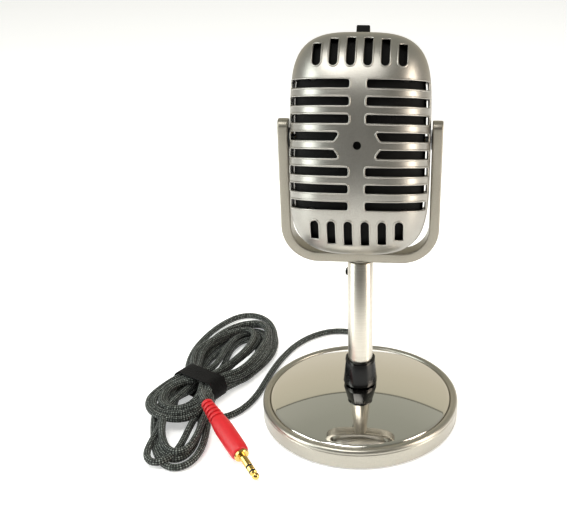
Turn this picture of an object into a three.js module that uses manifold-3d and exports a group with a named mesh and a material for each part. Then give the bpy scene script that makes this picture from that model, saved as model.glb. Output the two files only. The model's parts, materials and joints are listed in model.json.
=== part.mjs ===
// A desktop microphone: a domed base, a stem, a U-shaped yoke and a head that tilts in it.
// Millimetres. +Z is up, -Y is the front, and the origin is under the middle of the base.

import * as THREE from 'three';
import { mergeVertices } from 'three/addons/utils/BufferGeometryUtils.js';
import Module from 'manifold-3d';

const wasm = await Module();
wasm.setup();

// ---------------------------------------------------------------- driving dimensions

const SEAT_GAP = 0.3;            // gap kept between pieces that rest on each other
const TURN_GAP = 0.3;            // gap round a piece that turns in another

// base
const BASE_RADIUS = 49;
const BASE_HEIGHT = 10.5;        // floor to the top of the rolled rim
const RIM_WIDTH = 3.8;           // rolled rim, seen from above
const RING_WALL = 1.5;
const PLATE_RISE = 7.2;          // how far the plate's middle stands above its edge
const PLATE_THICKNESS = 1.2;
const PLATE_EDGE_DROP = 0.5;     // plate edge below the rim's top
const BASE_FACETS = 40;
const FOOT_RADIUS = 4.5;
const FOOT_HEIGHT = 1.2;
const FOOT_CIRCLE = 36;
const COVER_THICKNESS = 2.2;
const WEIGHT_RADIUS = 40;
const WEIGHT_HEIGHT = 5.2;
const WEIGHT_BORE = 5.0;
const COVER_SCREW_CIRCLE = 24;
const COVER_SCREW_RADIUS = 1.5;
const COVER_SCREW_HEAD = 2.7;
const SCREW_CLEARANCE = 0.35;

// stem and collar
const STEM_RADIUS = 6;
const STEM_WALL = 1;
const STEM_TOP = 84;
const SOCKET_RADIUS = 4.5;
const SOCKET_TOP = 40;
const LEAD_BORE = 1.9;
const COLLAR_HEIGHT = 13.8;
const COLLAR_TOP_RADIUS = 7.7;
const COLLAR_FOOT_RADIUS = 9.0;
const COLLAR_SIDES = 8;
const INNER_LEAD_RADIUS = 1.4;

// yoke
const YOKE_SIDE_GAP = 0.6;       // between the head and each arm
const YOKE_ARM = 4.6;            // thickness of the arms, across
const YOKE_BAR = 4.9;            // thickness of the bottom bar
const YOKE_DEPTH = 8.4;
const YOKE_CORNER = 17;
const YOKE_ABOVE_PIVOT = 8.2;
const YOKE_TOP_ROUND = 3;
const YOKE_EDGE = 0.7;
const SPIGOT_LENGTH = 14;

// pivots
const CHIN_RISE = 10.1;          // room over the stem for the head to swing in
const PIVOT_SCREW_RADIUS = 1.5;
const PIVOT_HEAD_RADIUS = 3.0;
const PIVOT_HEAD_HEIGHT = 1.3;
const WASHER_RADIUS = 4.4;
const INSERT_RADIUS = 4.2;
const INSERT_LENGTH = 5.4;

// head, in its own frame: the origin is its middle and -Y is its face
const HEAD_HALF_WIDTH = 31.0;
const HEAD_HALF_HEIGHT = 48.4;
const HEAD_HALF_DEPTH = 22.8;
const HEAD_WALL = 1.6;
const HEAD_SEAM = 0.15;          // each shell's edge stands this far off the middle plane
const HEAD_TILT = 15.85;         // degrees, leaning back
const HEAD_BELOW_PIVOT = 3.0;
const CROWN_ARCH = 3.2;          // the outline's power across: lower is a rounder crown
const SIDE_STRAIGHTNESS = 5.0;   // the outline's power upwards: higher is a straighter side
const CROWN_POWER = 2.6;         // how flat the face is before it rolls over
const EDGE_POWER = 2.1;
const SHELL_TURNS = 24;          // facets round the shells and the liners
const SHELL_RINGS = 5;
const LINER_TURNS = 16;
const LINER_RINGS = 4;
const LINER_GAP = 0.6;
const LINER_THICKNESS = 0.6;

// grille
const SLOT_PITCH = 7.26;
const SLOT_WIDTH = 3.7;
const ROWS = 8;
const COLUMN_GAP = 3.5;          // half the plain bar between the two columns
const CROWN_SLOTS = 6;
const CROWN_SLOT_FOOT = 32.8;
const CHIN_SLOT_TOP = 32.0;
const SIDE_LAND = 1.2;           // metal left at the outer end of each row
const CROWN_LAND = 3.4;
const CHIN_LAND = 5.4;
const PORT_RADIUS = 1.75;
const PORT_BAR_NEAR = 9.7;       // inner ends of the two rows beside the port
const PORT_BAR_FAR = 7.1;
const ROW_CORNER = 0.8;

// inside the head
const SHELL_SCREW_X = 20;
const SHELL_SCREW_Z = 30;
const BOSS_RADIUS = 3.0;
const SHELL_SCREW_RADIUS = 1.1;
const SHELL_SCREW_HEAD = 2.1;
const CAPSULE_RADIUS = 7;
const CAPSULE_LENGTH = 7;
const CAPSULE_FRONT = -18.5;
const BOOT_WALL = 1.6;
const BRACKET_Y = -6.4;
const BRACKET_THICKNESS = 1.5;
const BOARD_Y = 6.2;
const BOARD_THICKNESS = 1.6;

// switch, on the rear of the crown
const SWITCH_Y = 7;
const SWITCH_LEAN = 26.3;        // degrees, the crown's slope there
const KNOB_WIDTH = 6.0;
const KNOB_LENGTH = 4.0;
const KNOB_PROUD = 5.4;
const KNOB_TRAVEL = 2.4;
const SWITCH_BELOW = 3.4;        // top of the switch case below the crown

// cord
const CORD_RADIUS = 1.7;
const CORD_HEIGHT = 1.8;         // height of a lying cord's centre line
const GLAND_HEIGHT = 5.5;
const GLAND_LENGTH = 13;
const GLAND_ROOT = 3.1;
const GLAND_TIP = 2.3;
const GLAND_NECK = 2.4;          // where it passes through the base ring
const GLAND_INNER = 2.6;         // how far it reaches inside the ring's wall

// hank and its tie
const HANK_BOTTOM = 0.35;
const HANK_TOP = 10.2;
const TIE_X = -84.5;
const TIE_Y = 9.5;
const TIE_TURN = 60;             // degrees, the way the hank runs through the tie
const TIE_LENGTH = 10;
const TIE_THICKNESS = 1.3;
const TIE_HALF_WIDTH = 14.2;
const TIE_TOP = 12.8;
const TIE_BOTTOM = 0.2;
const TIE_CORNER = 4.5;

// plug
const PLUG_REAR = new THREE.Vector3(-74.0, -20.2, 14.8);
const PLUG_NOSE = new THREE.Vector3(-42.3, -60.2, 2.1);
const PIN_RADIUS = 1.75;
const PIN_LENGTH = 14;
const PLUG_FLANGE = 3.5;

// ---------------------------------------------------------------- values worked out

const COVER_BOTTOM = FOOT_HEIGHT + SEAT_GAP;
const COVER_TOP = COVER_BOTTOM + COVER_THICKNESS;
const WEIGHT_BOTTOM = COVER_TOP + SEAT_GAP;
const WEIGHT_TOP = WEIGHT_BOTTOM + WEIGHT_HEIGHT;
const PLATE_RADIUS = BASE_RADIUS - RIM_WIDTH;
const PLATE_EDGE_Z = BASE_HEIGHT - PLATE_EDGE_DROP;
const plateTop = (r) => PLATE_EDGE_Z + PLATE_RISE * (1 - (r / PLATE_RADIUS) ** 2);
const STEM_BORE = STEM_RADIUS - STEM_WALL;
const COLLAR_BORE = STEM_RADIUS + TURN_GAP;
const COLLAR_BOTTOM = plateTop(0) + SEAT_GAP;
const COLLAR_TOP = COLLAR_BOTTOM + COLLAR_HEIGHT;
const STEM_BOTTOM = COLLAR_BOTTOM + 1;
const YOKE_BOTTOM = STEM_TOP + SEAT_GAP;
const YOKE_INNER = HEAD_HALF_WIDTH + YOKE_SIDE_GAP;
const YOKE_HALF_WIDTH = YOKE_INNER + YOKE_ARM;
const PIVOT_HEIGHT = STEM_TOP + HEAD_HALF_HEIGHT + CHIN_RISE;
const HEAD_CENTRE = new THREE.Vector3(
  0,
  -HEAD_BELOW_PIVOT * Math.sin(THREE.MathUtils.degToRad(HEAD_TILT)),
  PIVOT_HEIGHT - HEAD_BELOW_PIVOT * Math.cos(THREE.MathUtils.degToRad(HEAD_TILT)),
);

// ---------------------------------------------------------------- materials

function finish(color, roughness, metalness) {
  return new THREE.MeshStandardMaterial({ color, roughness, metalness });
}

const SATIN_SILVER = finish(0xb9b7b1, 0.35, 0.85);
const SATIN_GREY = finish(0x97928a, 0.38, 0.85);
const CHROME = finish(0xdedcd6, 0.05, 1.0);
const BLACK_PLASTIC = finish(0x121212, 0.3, 0.0);
const BLACK_RUBBER = finish(0x181818, 0.85, 0.0);
const BLACK_MESH = finish(0x0d0d0e, 0.9, 0.0);
const IRON = finish(0x55565a, 0.6, 0.7);
const STEEL = finish(0xb6b6b6, 0.3, 1.0);
const BRASS = finish(0xc8a24b, 0.3, 1.0);
const GREEN_BOARD = finish(0x1f5a36, 0.5, 0.0);
const GREY_BRAID = finish(0x3b3d3b, 0.8, 0.0);
const HOOK_TAPE = finish(0x101010, 0.95, 0.0);
const RED_PVC = finish(0xd8302f, 0.4, 0.0);
const GOLD = finish(0xd9b25a, 0.2, 1.0);

// ---------------------------------------------------------------- helpers

const radians = THREE.MathUtils.degToRad;
const v2 = (x, y) => new THREE.Vector2(x, y);
const v3 = (x, y, z) => new THREE.Vector3(x, y, z);

function namedMesh(parent, name, geometry, material) {
  const mesh = new THREE.Mesh(geometry, material);
  mesh.name = name;
  parent.add(mesh);
  return mesh;
}

// Spin a profile of [radius, height] points about Z. It starts and ends on the axis, or closes.
function turned(profile, segments = 40) {
  const points = profile.map(([r, z]) => v2(r, z));
  return new THREE.LatheGeometry(points, segments).rotateX(Math.PI / 2);
}

function ring(inner, outer, bottom, top, segments = 32) {
  const profile = [[inner, bottom], [outer, bottom], [outer, top], [inner, top], [inner, bottom]];
  return turned(profile, segments);
}

function disc(radius, bottom, top, segments = 24) {
  return turned([[0, bottom], [radius, bottom], [radius, top], [0, top]], segments);
}

// Extrude an outline drawn in X and Y upwards from bottom to top.
function prism(shape, bottom, top, curveSegments = 6) {
  const settings = { depth: top - bottom, bevelEnabled: false, curveSegments };
  return new THREE.ExtrudeGeometry(shape, settings).translate(0, 0, bottom);
}

// Extrude an outline drawn in X and Z along Y, from y = front to y = rear.
function slab(shape, front, rear, curveSegments = 6) {
  return prism(shape, -rear, -front, curveSegments).rotateX(Math.PI / 2);
}

function block(width, depth, height, x = 0, y = 0, z = 0) {
  return new THREE.BoxGeometry(width, depth, height).translate(x, y, z);
}

function rod(radius, from, to, segments = 12) {
  const span = to.clone().sub(from);
  const turn = new THREE.Quaternion().setFromUnitVectors(v3(0, 0, 1), span.clone().normalize());
  const geometry = disc(radius, 0, span.length(), segments);
  return geometry.applyQuaternion(turn).translate(from.x, from.y, from.z);
}

function cordTube(points, radius, steps, sides = 8) {
  const section = new THREE.Shape();
  for (let i = 0; i < sides; i += 1) {
    const angle = (2 * Math.PI * (i + 0.5)) / sides;
    const [x, y] = [radius * Math.cos(angle), radius * Math.sin(angle)];
    if (i === 0) {
      section.moveTo(x, y);
    } else {
      section.lineTo(x, y);
    }
  }
  section.closePath();
  const extrudePath = new THREE.CatmullRomCurve3(points, false, 'centripetal');
  return new THREE.ExtrudeGeometry(section, { steps, extrudePath, curveSegments: 1 });
}

function roundedBox(halfWidth, halfHeight, corner) {
  const shape = new THREE.Shape();
  shape.moveTo(halfWidth, -halfHeight + corner);
  shape.lineTo(halfWidth, halfHeight - corner);
  shape.absarc(halfWidth - corner, halfHeight - corner, corner, 0, Math.PI / 2);
  shape.absarc(-halfWidth + corner, halfHeight - corner, corner, Math.PI / 2, Math.PI);
  shape.absarc(-halfWidth + corner, -halfHeight + corner, corner, Math.PI, 1.5 * Math.PI);
  shape.absarc(halfWidth - corner, -halfHeight + corner, corner, 1.5 * Math.PI, 2 * Math.PI);
  return shape;
}

// manifold-3d solid from a closed geometry, and back
function solid(geometry) {
  const bare = geometry.index ? geometry.toNonIndexed() : geometry.clone();
  bare.deleteAttribute('normal');
  bare.deleteAttribute('uv');
  const merged = mergeVertices(bare, 1e-4);
  const kept = [];
  const index = merged.index.array;
  for (let i = 0; i < index.length; i += 3) {
    const [a, b, c] = [index[i], index[i + 1], index[i + 2]];
    if (a !== b && b !== c && c !== a) {
      kept.push(a, b, c);
    }
  }
  return new wasm.Manifold(new wasm.Mesh({
    numProp: 3,
    vertProperties: new Float32Array(merged.attributes.position.array),
    triVerts: new Uint32Array(kept),
  }));
}

function geometryOf(manifold) {
  const { vertProperties, triVerts } = manifold.getMesh();
  const geometry = new THREE.BufferGeometry();
  geometry.setAttribute('position', new THREE.BufferAttribute(new Float32Array(vertProperties), 3));
  geometry.setIndex(new THREE.BufferAttribute(new Uint32Array(triVerts), 1));
  return geometry;
}

function carve(body, { add = [], cut = [], keep = [] }) {
  let result = solid(body);
  for (const piece of add) {
    result = result.add(solid(piece));
  }
  for (const piece of keep) {
    result = result.intersect(solid(piece));
  }
  for (const piece of cut) {
    result = result.subtract(solid(piece));
  }
  return geometryOf(result);
}

// ---------------------------------------------------------------- base

function ringProfile() {
  const inner = PLATE_RADIUS + SEAT_GAP;
  const bottom = FOOT_HEIGHT - 0.3;
  const bead = RIM_WIDTH / 2;
  const profile = [[BASE_RADIUS - RING_WALL, bottom], [BASE_RADIUS - 0.4, bottom]];
  const outerSteps = 4;
  profile.push([BASE_RADIUS, bottom + 0.5]);
  for (let i = 0; i <= outerSteps; i += 1) {
    const angle = (Math.PI / 2) * (i / outerSteps);
    const r = BASE_RADIUS - bead + bead * Math.cos(angle);
    profile.push([r, BASE_HEIGHT - bead + bead * Math.sin(angle)]);
  }
  profile.push([inner + 0.5, BASE_HEIGHT - 0.5]);
  profile.push([inner, BASE_HEIGHT - 1.2]);
  profile.push([inner, BASE_HEIGHT - 2.2]);
  profile.push([BASE_RADIUS - RING_WALL, BASE_HEIGHT - 3.2]);
  profile.push([BASE_RADIUS - RING_WALL, bottom]);
  return profile;
}

function plateProfile() {
  const steps = 5;
  const hole = SOCKET_RADIUS + SEAT_GAP;
  const top = [];
  const under = [];
  for (let i = 0; i <= steps; i += 1) {
    const r = hole + ((PLATE_RADIUS - hole) * i) / steps;
    top.push([r, plateTop(r)]);
    under.push([r, plateTop(r) - PLATE_THICKNESS]);
  }
  const outline = [...under, ...top.reverse()];
  return [...outline, outline[0]];
}

const LEAD_ROUTE = [
  v3(0, 40.5, GLAND_HEIGHT + 0.4), v3(0, 34, 6.6), v3(0, 24, 6.9), v3(0, 13, 7.2),
  v3(0, 6, 7.9), v3(0, 1.6, 10.2), v3(0, 0, 14), v3(0, 0, 18), v3(0, 0, SOCKET_TOP - 2),
];

function atAngle(radius, degrees, z) {
  return v3(radius * Math.cos(radians(degrees)), radius * Math.sin(radians(degrees)), z);
}

function addBase(parent) {
  const wallInside = BASE_RADIUS - RING_WALL;
  const glandAt = (y) => v3(0, y, GLAND_HEIGHT);
  const glandHole = rod(GLAND_NECK + SEAT_GAP, glandAt(wallInside - 6), glandAt(BASE_RADIUS + 3), 16);
  const roomStart = glandAt(wallInside - GLAND_INNER - 1);
  const glandRoom = rod(GLAND_ROOT + SEAT_GAP, roomStart, glandAt(wallInside), 16);
  const ringBody = carve(turned(ringProfile(), BASE_FACETS), { cut: [glandHole, glandRoom] });
  namedMesh(parent, 'base_ring', ringBody, SATIN_SILVER);
  namedMesh(parent, 'base_plate', turned(plateProfile(), BASE_FACETS), CHROME);

  const screwAngles = [30, 150, 270];
  const screwHoles = screwAngles.map((angle) => rod(
    COVER_SCREW_RADIUS + SCREW_CLEARANCE,
    atAngle(COVER_SCREW_CIRCLE, angle, 0),
    atAngle(COVER_SCREW_CIRCLE, angle, WEIGHT_BOTTOM + 4),
  ));
  const screwPockets = screwAngles.map((angle) => rod(
    COVER_SCREW_HEAD + SCREW_CLEARANCE,
    atAngle(COVER_SCREW_CIRCLE, angle, 0),
    atAngle(COVER_SCREW_CIRCLE, angle, COVER_BOTTOM + 1.3),
  ));

  const nutPocket = disc(7.6, WEIGHT_BOTTOM - 1, WEIGHT_BOTTOM + 2.6, 6);
  const channelZ = WEIGHT_BOTTOM + 1 + WEIGHT_HEIGHT / 2;
  const leadChannel = block(5, WEIGHT_RADIUS + 4, WEIGHT_HEIGHT, 0, WEIGHT_RADIUS / 2, channelZ);
  const clampPocket = block(15, 9, WEIGHT_HEIGHT + 2, 0, 37, WEIGHT_BOTTOM + WEIGHT_HEIGHT / 2);
  const weight = carve(ring(WEIGHT_BORE, WEIGHT_RADIUS, WEIGHT_BOTTOM, WEIGHT_TOP, 32), {
    cut: [nutPocket, leadChannel, clampPocket, ...screwHoles],
  });
  namedMesh(parent, 'base_weight', weight, IRON);

  const coverRadius = BASE_RADIUS - RING_WALL - SEAT_GAP;
  const cover = carve(disc(coverRadius, COVER_BOTTOM, COVER_TOP, BASE_FACETS), {
    cut: [...screwHoles, ...screwPockets, glandRoom],
  });
  namedMesh(parent, 'base_cover', cover, BLACK_PLASTIC);

  [45, 135, 225, 315].forEach((angle, i) => {
    const foot = disc(FOOT_RADIUS, 0, FOOT_HEIGHT, 14);
    const mesh = namedMesh(parent, `rubber_foot_${i + 1}`, foot, BLACK_RUBBER);
    mesh.position.copy(atAngle(FOOT_CIRCLE, angle, 0));
  });

  screwAngles.forEach((angle, i) => {
    const bottom = COVER_BOTTOM + 0.1;
    const neck = bottom + 1.0;
    const profile = [
      [0, bottom], [COVER_SCREW_HEAD, bottom], [COVER_SCREW_HEAD, neck],
      [COVER_SCREW_RADIUS, neck], [COVER_SCREW_RADIUS, WEIGHT_BOTTOM + 3.4], [0, WEIGHT_BOTTOM + 3.4],
    ];
    const mesh = namedMesh(parent, `cover_screw_${i + 1}`, turned(profile, 10), STEEL);
    mesh.position.copy(atAngle(COVER_SCREW_CIRCLE, angle, 0));
  });

  // The socket clamps the plate and the weight between its flange and its nut.
  const flangeTop = plateTop(9) - PLATE_THICKNESS - SEAT_GAP;
  const tail = WEIGHT_BOTTOM - 0.1;
  const socketProfile = [
    [0, tail], [SOCKET_RADIUS, tail], [SOCKET_RADIUS, WEIGHT_TOP + SEAT_GAP],
    [9, WEIGHT_TOP + SEAT_GAP], [9, flangeTop], [SOCKET_RADIUS, flangeTop],
    [SOCKET_RADIUS, SOCKET_TOP], [0, SOCKET_TOP],
  ];
  const boreRoute = [v3(0, 16, 7.1), ...LEAD_ROUTE.slice(3, 8), v3(0, 0, SOCKET_TOP + 1)];
  const socket = carve(turned(socketProfile, 20), {
    cut: [cordTube(boreRoute, LEAD_BORE, 24, 8)],
  });
  namedMesh(parent, 'stem_socket', socket, STEEL);
  const nut = carve(disc(6.6, WEIGHT_BOTTOM + 0.1, WEIGHT_BOTTOM + 2.3, 6), {
    cut: [disc(SOCKET_RADIUS + SEAT_GAP, 0, WEIGHT_TOP, 24), block(5, 12, 1.4, 0, 6, WEIGHT_BOTTOM + 2.6)],
  });
  namedMesh(parent, 'socket_nut', nut, STEEL);
}

function addCollar(parent) {
  const lip = 1.4;
  const outside = turned([
    [0, COLLAR_BOTTOM], [COLLAR_FOOT_RADIUS - 0.9, COLLAR_BOTTOM],
    [COLLAR_FOOT_RADIUS, COLLAR_BOTTOM + 1.4], [COLLAR_TOP_RADIUS, COLLAR_TOP - lip],
    [COLLAR_TOP_RADIUS + 0.2, COLLAR_TOP - lip], [COLLAR_TOP_RADIUS + 0.2, COLLAR_TOP],
    [0, COLLAR_TOP],
  ], COLLAR_SIDES).rotateZ(radians(180 / COLLAR_SIDES));
  const collar = carve(outside, { cut: [disc(COLLAR_BORE, 0, COLLAR_TOP + 1, 32)] });
  namedMesh(parent, 'collar_nut', collar, BLACK_PLASTIC);
}

// ---------------------------------------------------------------- stem and yoke

const SIDE_SCREW_TURN = 160;      // degrees round from +X: left and a little to the rear
const SIDE_SCREW_Z = STEM_TOP - 7;

function sideScrewAt(radius) {
  return atAngle(radius, SIDE_SCREW_TURN, SIDE_SCREW_Z);
}

function yokeOutline() {
  const top = PIVOT_HEIGHT + YOKE_ABOVE_PIVOT;
  const innerCorner = YOKE_CORNER - YOKE_ARM;
  const floor = YOKE_BOTTOM + YOKE_BAR;
  const shape = new THREE.Shape();
  shape.moveTo(YOKE_HALF_WIDTH, top);
  shape.lineTo(YOKE_INNER, top);
  shape.lineTo(YOKE_INNER, floor + innerCorner);
  shape.absarc(YOKE_INNER - innerCorner, floor + innerCorner, innerCorner, 0, -Math.PI / 2, true);
  shape.absarc(-YOKE_INNER + innerCorner, floor + innerCorner, innerCorner, -Math.PI / 2, -Math.PI, true);
  shape.lineTo(-YOKE_INNER, top);
  shape.lineTo(-YOKE_HALF_WIDTH, top);
  shape.lineTo(-YOKE_HALF_WIDTH, YOKE_BOTTOM + YOKE_CORNER);
  const cornerX = YOKE_HALF_WIDTH - YOKE_CORNER;
  const cornerZ = YOKE_BOTTOM + YOKE_CORNER;
  shape.absarc(-cornerX, cornerZ, YOKE_CORNER, Math.PI, 1.5 * Math.PI);
  shape.absarc(cornerX, cornerZ, YOKE_CORNER, 1.5 * Math.PI, 2 * Math.PI);
  shape.closePath();
  return shape;
}

// Side view of the arms: round-over at the top, front and rear.
function armSideView() {
  const half = YOKE_DEPTH / 2;
  const top = PIVOT_HEIGHT + YOKE_ABOVE_PIVOT;
  const bottom = YOKE_BOTTOM - SPIGOT_LENGTH - 1;
  const r = YOKE_TOP_ROUND;
  const shape = new THREE.Shape();
  shape.moveTo(-half, bottom);
  shape.lineTo(half, bottom);
  shape.lineTo(half, top - r);
  shape.absarc(half - r, top - r, r, 0, Math.PI / 2);
  shape.absarc(-half + r, top - r, r, Math.PI / 2, Math.PI);
  shape.closePath();
  const width = 2 * YOKE_HALF_WIDTH + 4;
  return prism(shape, -width / 2, width / 2, 5).rotateX(Math.PI / 2).rotateZ(Math.PI / 2);
}

function addStem(parent) {
  const tube = carve(ring(STEM_BORE, STEM_RADIUS, STEM_BOTTOM, STEM_TOP, 28), {
    cut: [rod(1.5, sideScrewAt(3), sideScrewAt(9))],
  });
  namedMesh(parent, 'stem_tube', tube, SATIN_SILVER);

  const half = YOKE_DEPTH / 2;
  const settings = {
    depth: YOKE_DEPTH - 2 * YOKE_EDGE,
    bevelEnabled: true,
    bevelThickness: YOKE_EDGE,
    bevelSize: YOKE_EDGE,
    bevelOffset: -YOKE_EDGE,
    bevelSegments: 1,
    curveSegments: 6,
  };
  const outline = new THREE.ExtrudeGeometry(yokeOutline(), settings)
    .translate(0, 0, -half + YOKE_EDGE)
    .rotateX(Math.PI / 2);
  const spigot = disc(STEM_BORE - SEAT_GAP, YOKE_BOTTOM - SPIGOT_LENGTH, YOKE_BOTTOM + 2, 20);
  const pivotHoles = [-1, 1].flatMap((side) => {
    const at = (x) => v3(side * x, 0, PIVOT_HEIGHT);
    const seat = YOKE_HALF_WIDTH - PIVOT_HEAD_HEIGHT - 0.5;
    return [
      rod(PIVOT_SCREW_RADIUS + TURN_GAP, at(YOKE_INNER - 3), at(YOKE_HALF_WIDTH + 3), 12),
      rod(PIVOT_HEAD_RADIUS + SCREW_CLEARANCE, at(seat), at(YOKE_HALF_WIDTH + 3), 16),
    ];
  });
  const leadBore = disc(LEAD_BORE, 0, YOKE_BOTTOM + 1.5, 16);
  const screwHole = rod(1.5, sideScrewAt(2.6), sideScrewAt(9));
  const yoke = carve(outline, {
    add: [spigot],
    keep: [armSideView()],
    cut: [...pivotHoles, leadBore, screwHole],
  });
  namedMesh(parent, 'yoke', yoke, SATIN_GREY);

  const sideScrew = carve(rod(1.15, sideScrewAt(3.0), sideScrewAt(STEM_RADIUS + 0.6)), {
    add: [rod(2.0, sideScrewAt(STEM_RADIUS + 0.25), sideScrewAt(STEM_RADIUS + 1.3), 20)],
  });
  namedMesh(parent, 'yoke_screw', sideScrew, BLACK_PLASTIC);

  [['left', -1], ['right', 1]].forEach(([word, side]) => {
    const at = (x) => v3(side * x, 0, PIVOT_HEIGHT);
    const headInner = YOKE_HALF_WIDTH - PIVOT_HEAD_HEIGHT - 0.2;
    const headOuter = YOKE_HALF_WIDTH - 0.2;
    const tip = HEAD_HALF_WIDTH - HEAD_WALL - INSERT_LENGTH - 0.5;
    const screw = carve(rod(PIVOT_SCREW_RADIUS, at(tip), at(headOuter - 0.4)), {
      add: [rod(PIVOT_HEAD_RADIUS, at(headInner), at(headOuter), 16)],
    });
    namedMesh(parent, `pivot_screw_${word}`, screw, STEEL);
    const gap = YOKE_INNER - HEAD_HALF_WIDTH;
    const washer = carve(rod(WASHER_RADIUS, at(HEAD_HALF_WIDTH + gap / 3), at(YOKE_INNER - gap / 4), 16), {
      cut: [rod(PIVOT_SCREW_RADIUS + TURN_GAP, at(20), at(40), 12)],
    });
    namedMesh(parent, `pivot_washer_${word}`, washer, BLACK_RUBBER);
  });
  const leadRoute = [SOCKET_TOP - 1.6, 60, YOKE_BOTTOM + 1].map((z) => v3(0, 0, z));
  const stemLead = cordTube(leadRoute, INNER_LEAD_RADIUS, 4);
  namedMesh(parent, 'stem_lead', stemLead, BLACK_RUBBER);
}

// ---------------------------------------------------------------- head

// One half of the head's rounded form: sign -1 is the front half, +1 the rear.
function halfForm(halfWidth, halfHeight, halfDepth, seamY, sign, turns, rings) {
  const rows = [];
  for (let i = 0; i <= rings; i += 1) {
    const share = Math.sin((Math.PI / 2) * (i / rings)) ** 0.9;
    const y = sign * halfDepth * Math.max(0, 1 - share ** CROWN_POWER) ** (1 / EDGE_POWER) + sign * seamY;
    const row = [];
    for (let j = 0; j < turns; j += 1) {
      const angle = (2 * Math.PI * j) / turns;
      const [c, s] = [Math.cos(angle), Math.sin(angle)];
      const x = share * halfWidth * Math.sign(c) * Math.abs(c) ** (2 / CROWN_ARCH);
      const z = share * halfHeight * Math.sign(s) * Math.abs(s) ** (2 / SIDE_STRAIGHTNESS);
      row.push(v3(x, y, z));
    }
    rows.push(row);
  }
  return rows;
}

// Close rows of points, from a pole at each end, into one body.
function closedFromRows(rows) {
  const position = [];
  const index = [];
  const turns = rows[1].length;
  const first = rows[0][0];
  const last = rows[rows.length - 1][0];
  position.push(first.x, first.y, first.z);
  const middle = rows.slice(1, -1);
  middle.forEach((row) => row.forEach((p) => position.push(p.x, p.y, p.z)));
  position.push(last.x, last.y, last.z);
  const at = (i, j) => 1 + i * turns + (j % turns);
  const end = 1 + middle.length * turns;
  for (let j = 0; j < turns; j += 1) {
    index.push(0, at(0, j), at(0, j + 1));
    for (let i = 0; i < middle.length - 1; i += 1) {
      index.push(at(i, j), at(i + 1, j), at(i + 1, j + 1));
      index.push(at(i, j), at(i + 1, j + 1), at(i, j + 1));
    }
    index.push(end, at(middle.length - 1, j + 1), at(middle.length - 1, j));
  }
  const geometry = new THREE.BufferGeometry();
  geometry.setAttribute('position', new THREE.Float32BufferAttribute(position, 3));
  geometry.setIndex(index);
  return geometry;
}

function bowl(outerInset, thickness, seamY, sign, turns, rings) {
  const form = (inset) => halfForm(
    HEAD_HALF_WIDTH - inset,
    HEAD_HALF_HEIGHT - inset,
    HEAD_HALF_DEPTH - inset,
    seamY,
    sign,
    turns,
    rings,
  );
  const outer = form(outerInset);
  const inner = form(outerInset + thickness).reverse();
  const geometry = closedFromRows([...outer, ...inner]);
  if (sign > 0) {
    const index = geometry.index.array;
    for (let i = 0; i < index.length; i += 3) {
      [index[i], index[i + 1]] = [index[i + 1], index[i]];
    }
  }
  return geometry;
}

function fullHalf(inset, sign) {
  const rows = halfForm(
    HEAD_HALF_WIDTH - inset,
    HEAD_HALF_HEIGHT - inset,
    HEAD_HALF_DEPTH - inset,
    0,
    sign,
    SHELL_TURNS,
    SHELL_RINGS,
  );
  const centre = [v3(0, 0, 0)];
  const geometry = closedFromRows([...rows, centre]);
  if (sign > 0) {
    const index = geometry.index.array;
    for (let i = 0; i < index.length; i += 3) {
      [index[i], index[i + 1]] = [index[i + 1], index[i]];
    }
  }
  return geometry;
}

// Height of the head's outline at a distance x from its middle, and the reverse.
function outlineHeight(x) {
  return HEAD_HALF_HEIGHT * (1 - Math.abs(x / HEAD_HALF_WIDTH) ** CROWN_ARCH) ** (1 / SIDE_STRAIGHTNESS);
}

function outlineWidth(z) {
  return HEAD_HALF_WIDTH * (1 - Math.abs(z / HEAD_HALF_HEIGHT) ** SIDE_STRAIGHTNESS) ** (1 / CROWN_ARCH);
}

// One row's opening on the side given by side, with an inner end that may slant.
function rowOutline(side, z, innerTop, innerBottom) {
  const half = SLOT_WIDTH / 2;
  const outer = outlineWidth(Math.abs(z) + half) - SIDE_LAND;
  const c = ROW_CORNER;
  const shape = new THREE.Shape();
  shape.moveTo(side * outer, z - half);
  shape.lineTo(side * outer, z + half);
  shape.lineTo(side * (innerTop + c), z + half);
  shape.lineTo(side * innerTop, z + half - c);
  shape.lineTo(side * innerBottom, z - half + c);
  shape.lineTo(side * (innerBottom + c), z - half);
  shape.closePath();
  return shape;
}

// An upright slot with one round end at z = start and a square end at z = end.
function uprightSlot(x, start, end) {
  const half = SLOT_WIDTH / 2;
  const up = Math.sign(end - start);
  const shape = new THREE.Shape();
  shape.moveTo(x + half, end);
  shape.lineTo(x - half, end);
  shape.lineTo(x - half, start + up * half);
  shape.absarc(x, start + up * half, half, Math.PI, up > 0 ? 2 * Math.PI : 0, up < 0);
  shape.closePath();
  return shape;
}

function grilleCutters(sign, withPort) {
  const reach = HEAD_HALF_DEPTH + 4;
  const through = (shape) => (sign < 0 ? slab(shape, -reach, -1.2, 2) : slab(shape, 1.2, reach, 2));
  const cutters = [];
  for (let row = 0; row < ROWS; row += 1) {
    const z = ((ROWS - 1) / 2 - row) * SLOT_PITCH;
    const besidePort = withPort && Math.abs(z) < SLOT_PITCH;
    const near = besidePort ? PORT_BAR_NEAR : COLUMN_GAP;
    const far = besidePort ? PORT_BAR_FAR : COLUMN_GAP;
    const [top, bottom] = z > 0 ? [far, near] : [near, far];
    cutters.push(through(rowOutline(-1, z, top, bottom)));
    cutters.push(through(rowOutline(1, z, top, bottom)));
  }
  for (let i = 0; i < CROWN_SLOTS; i += 1) {
    const x = (i - (CROWN_SLOTS - 1) / 2) * SLOT_PITCH;
    const height = outlineHeight(Math.abs(x) + SLOT_WIDTH / 2);
    if (sign < 0) {
      cutters.push(through(uprightSlot(x, CROWN_SLOT_FOOT, height - CROWN_LAND)));
    }
    cutters.push(through(uprightSlot(x, -CHIN_SLOT_TOP, -height + CHIN_LAND)));
  }
  return cutters;
}

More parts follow.
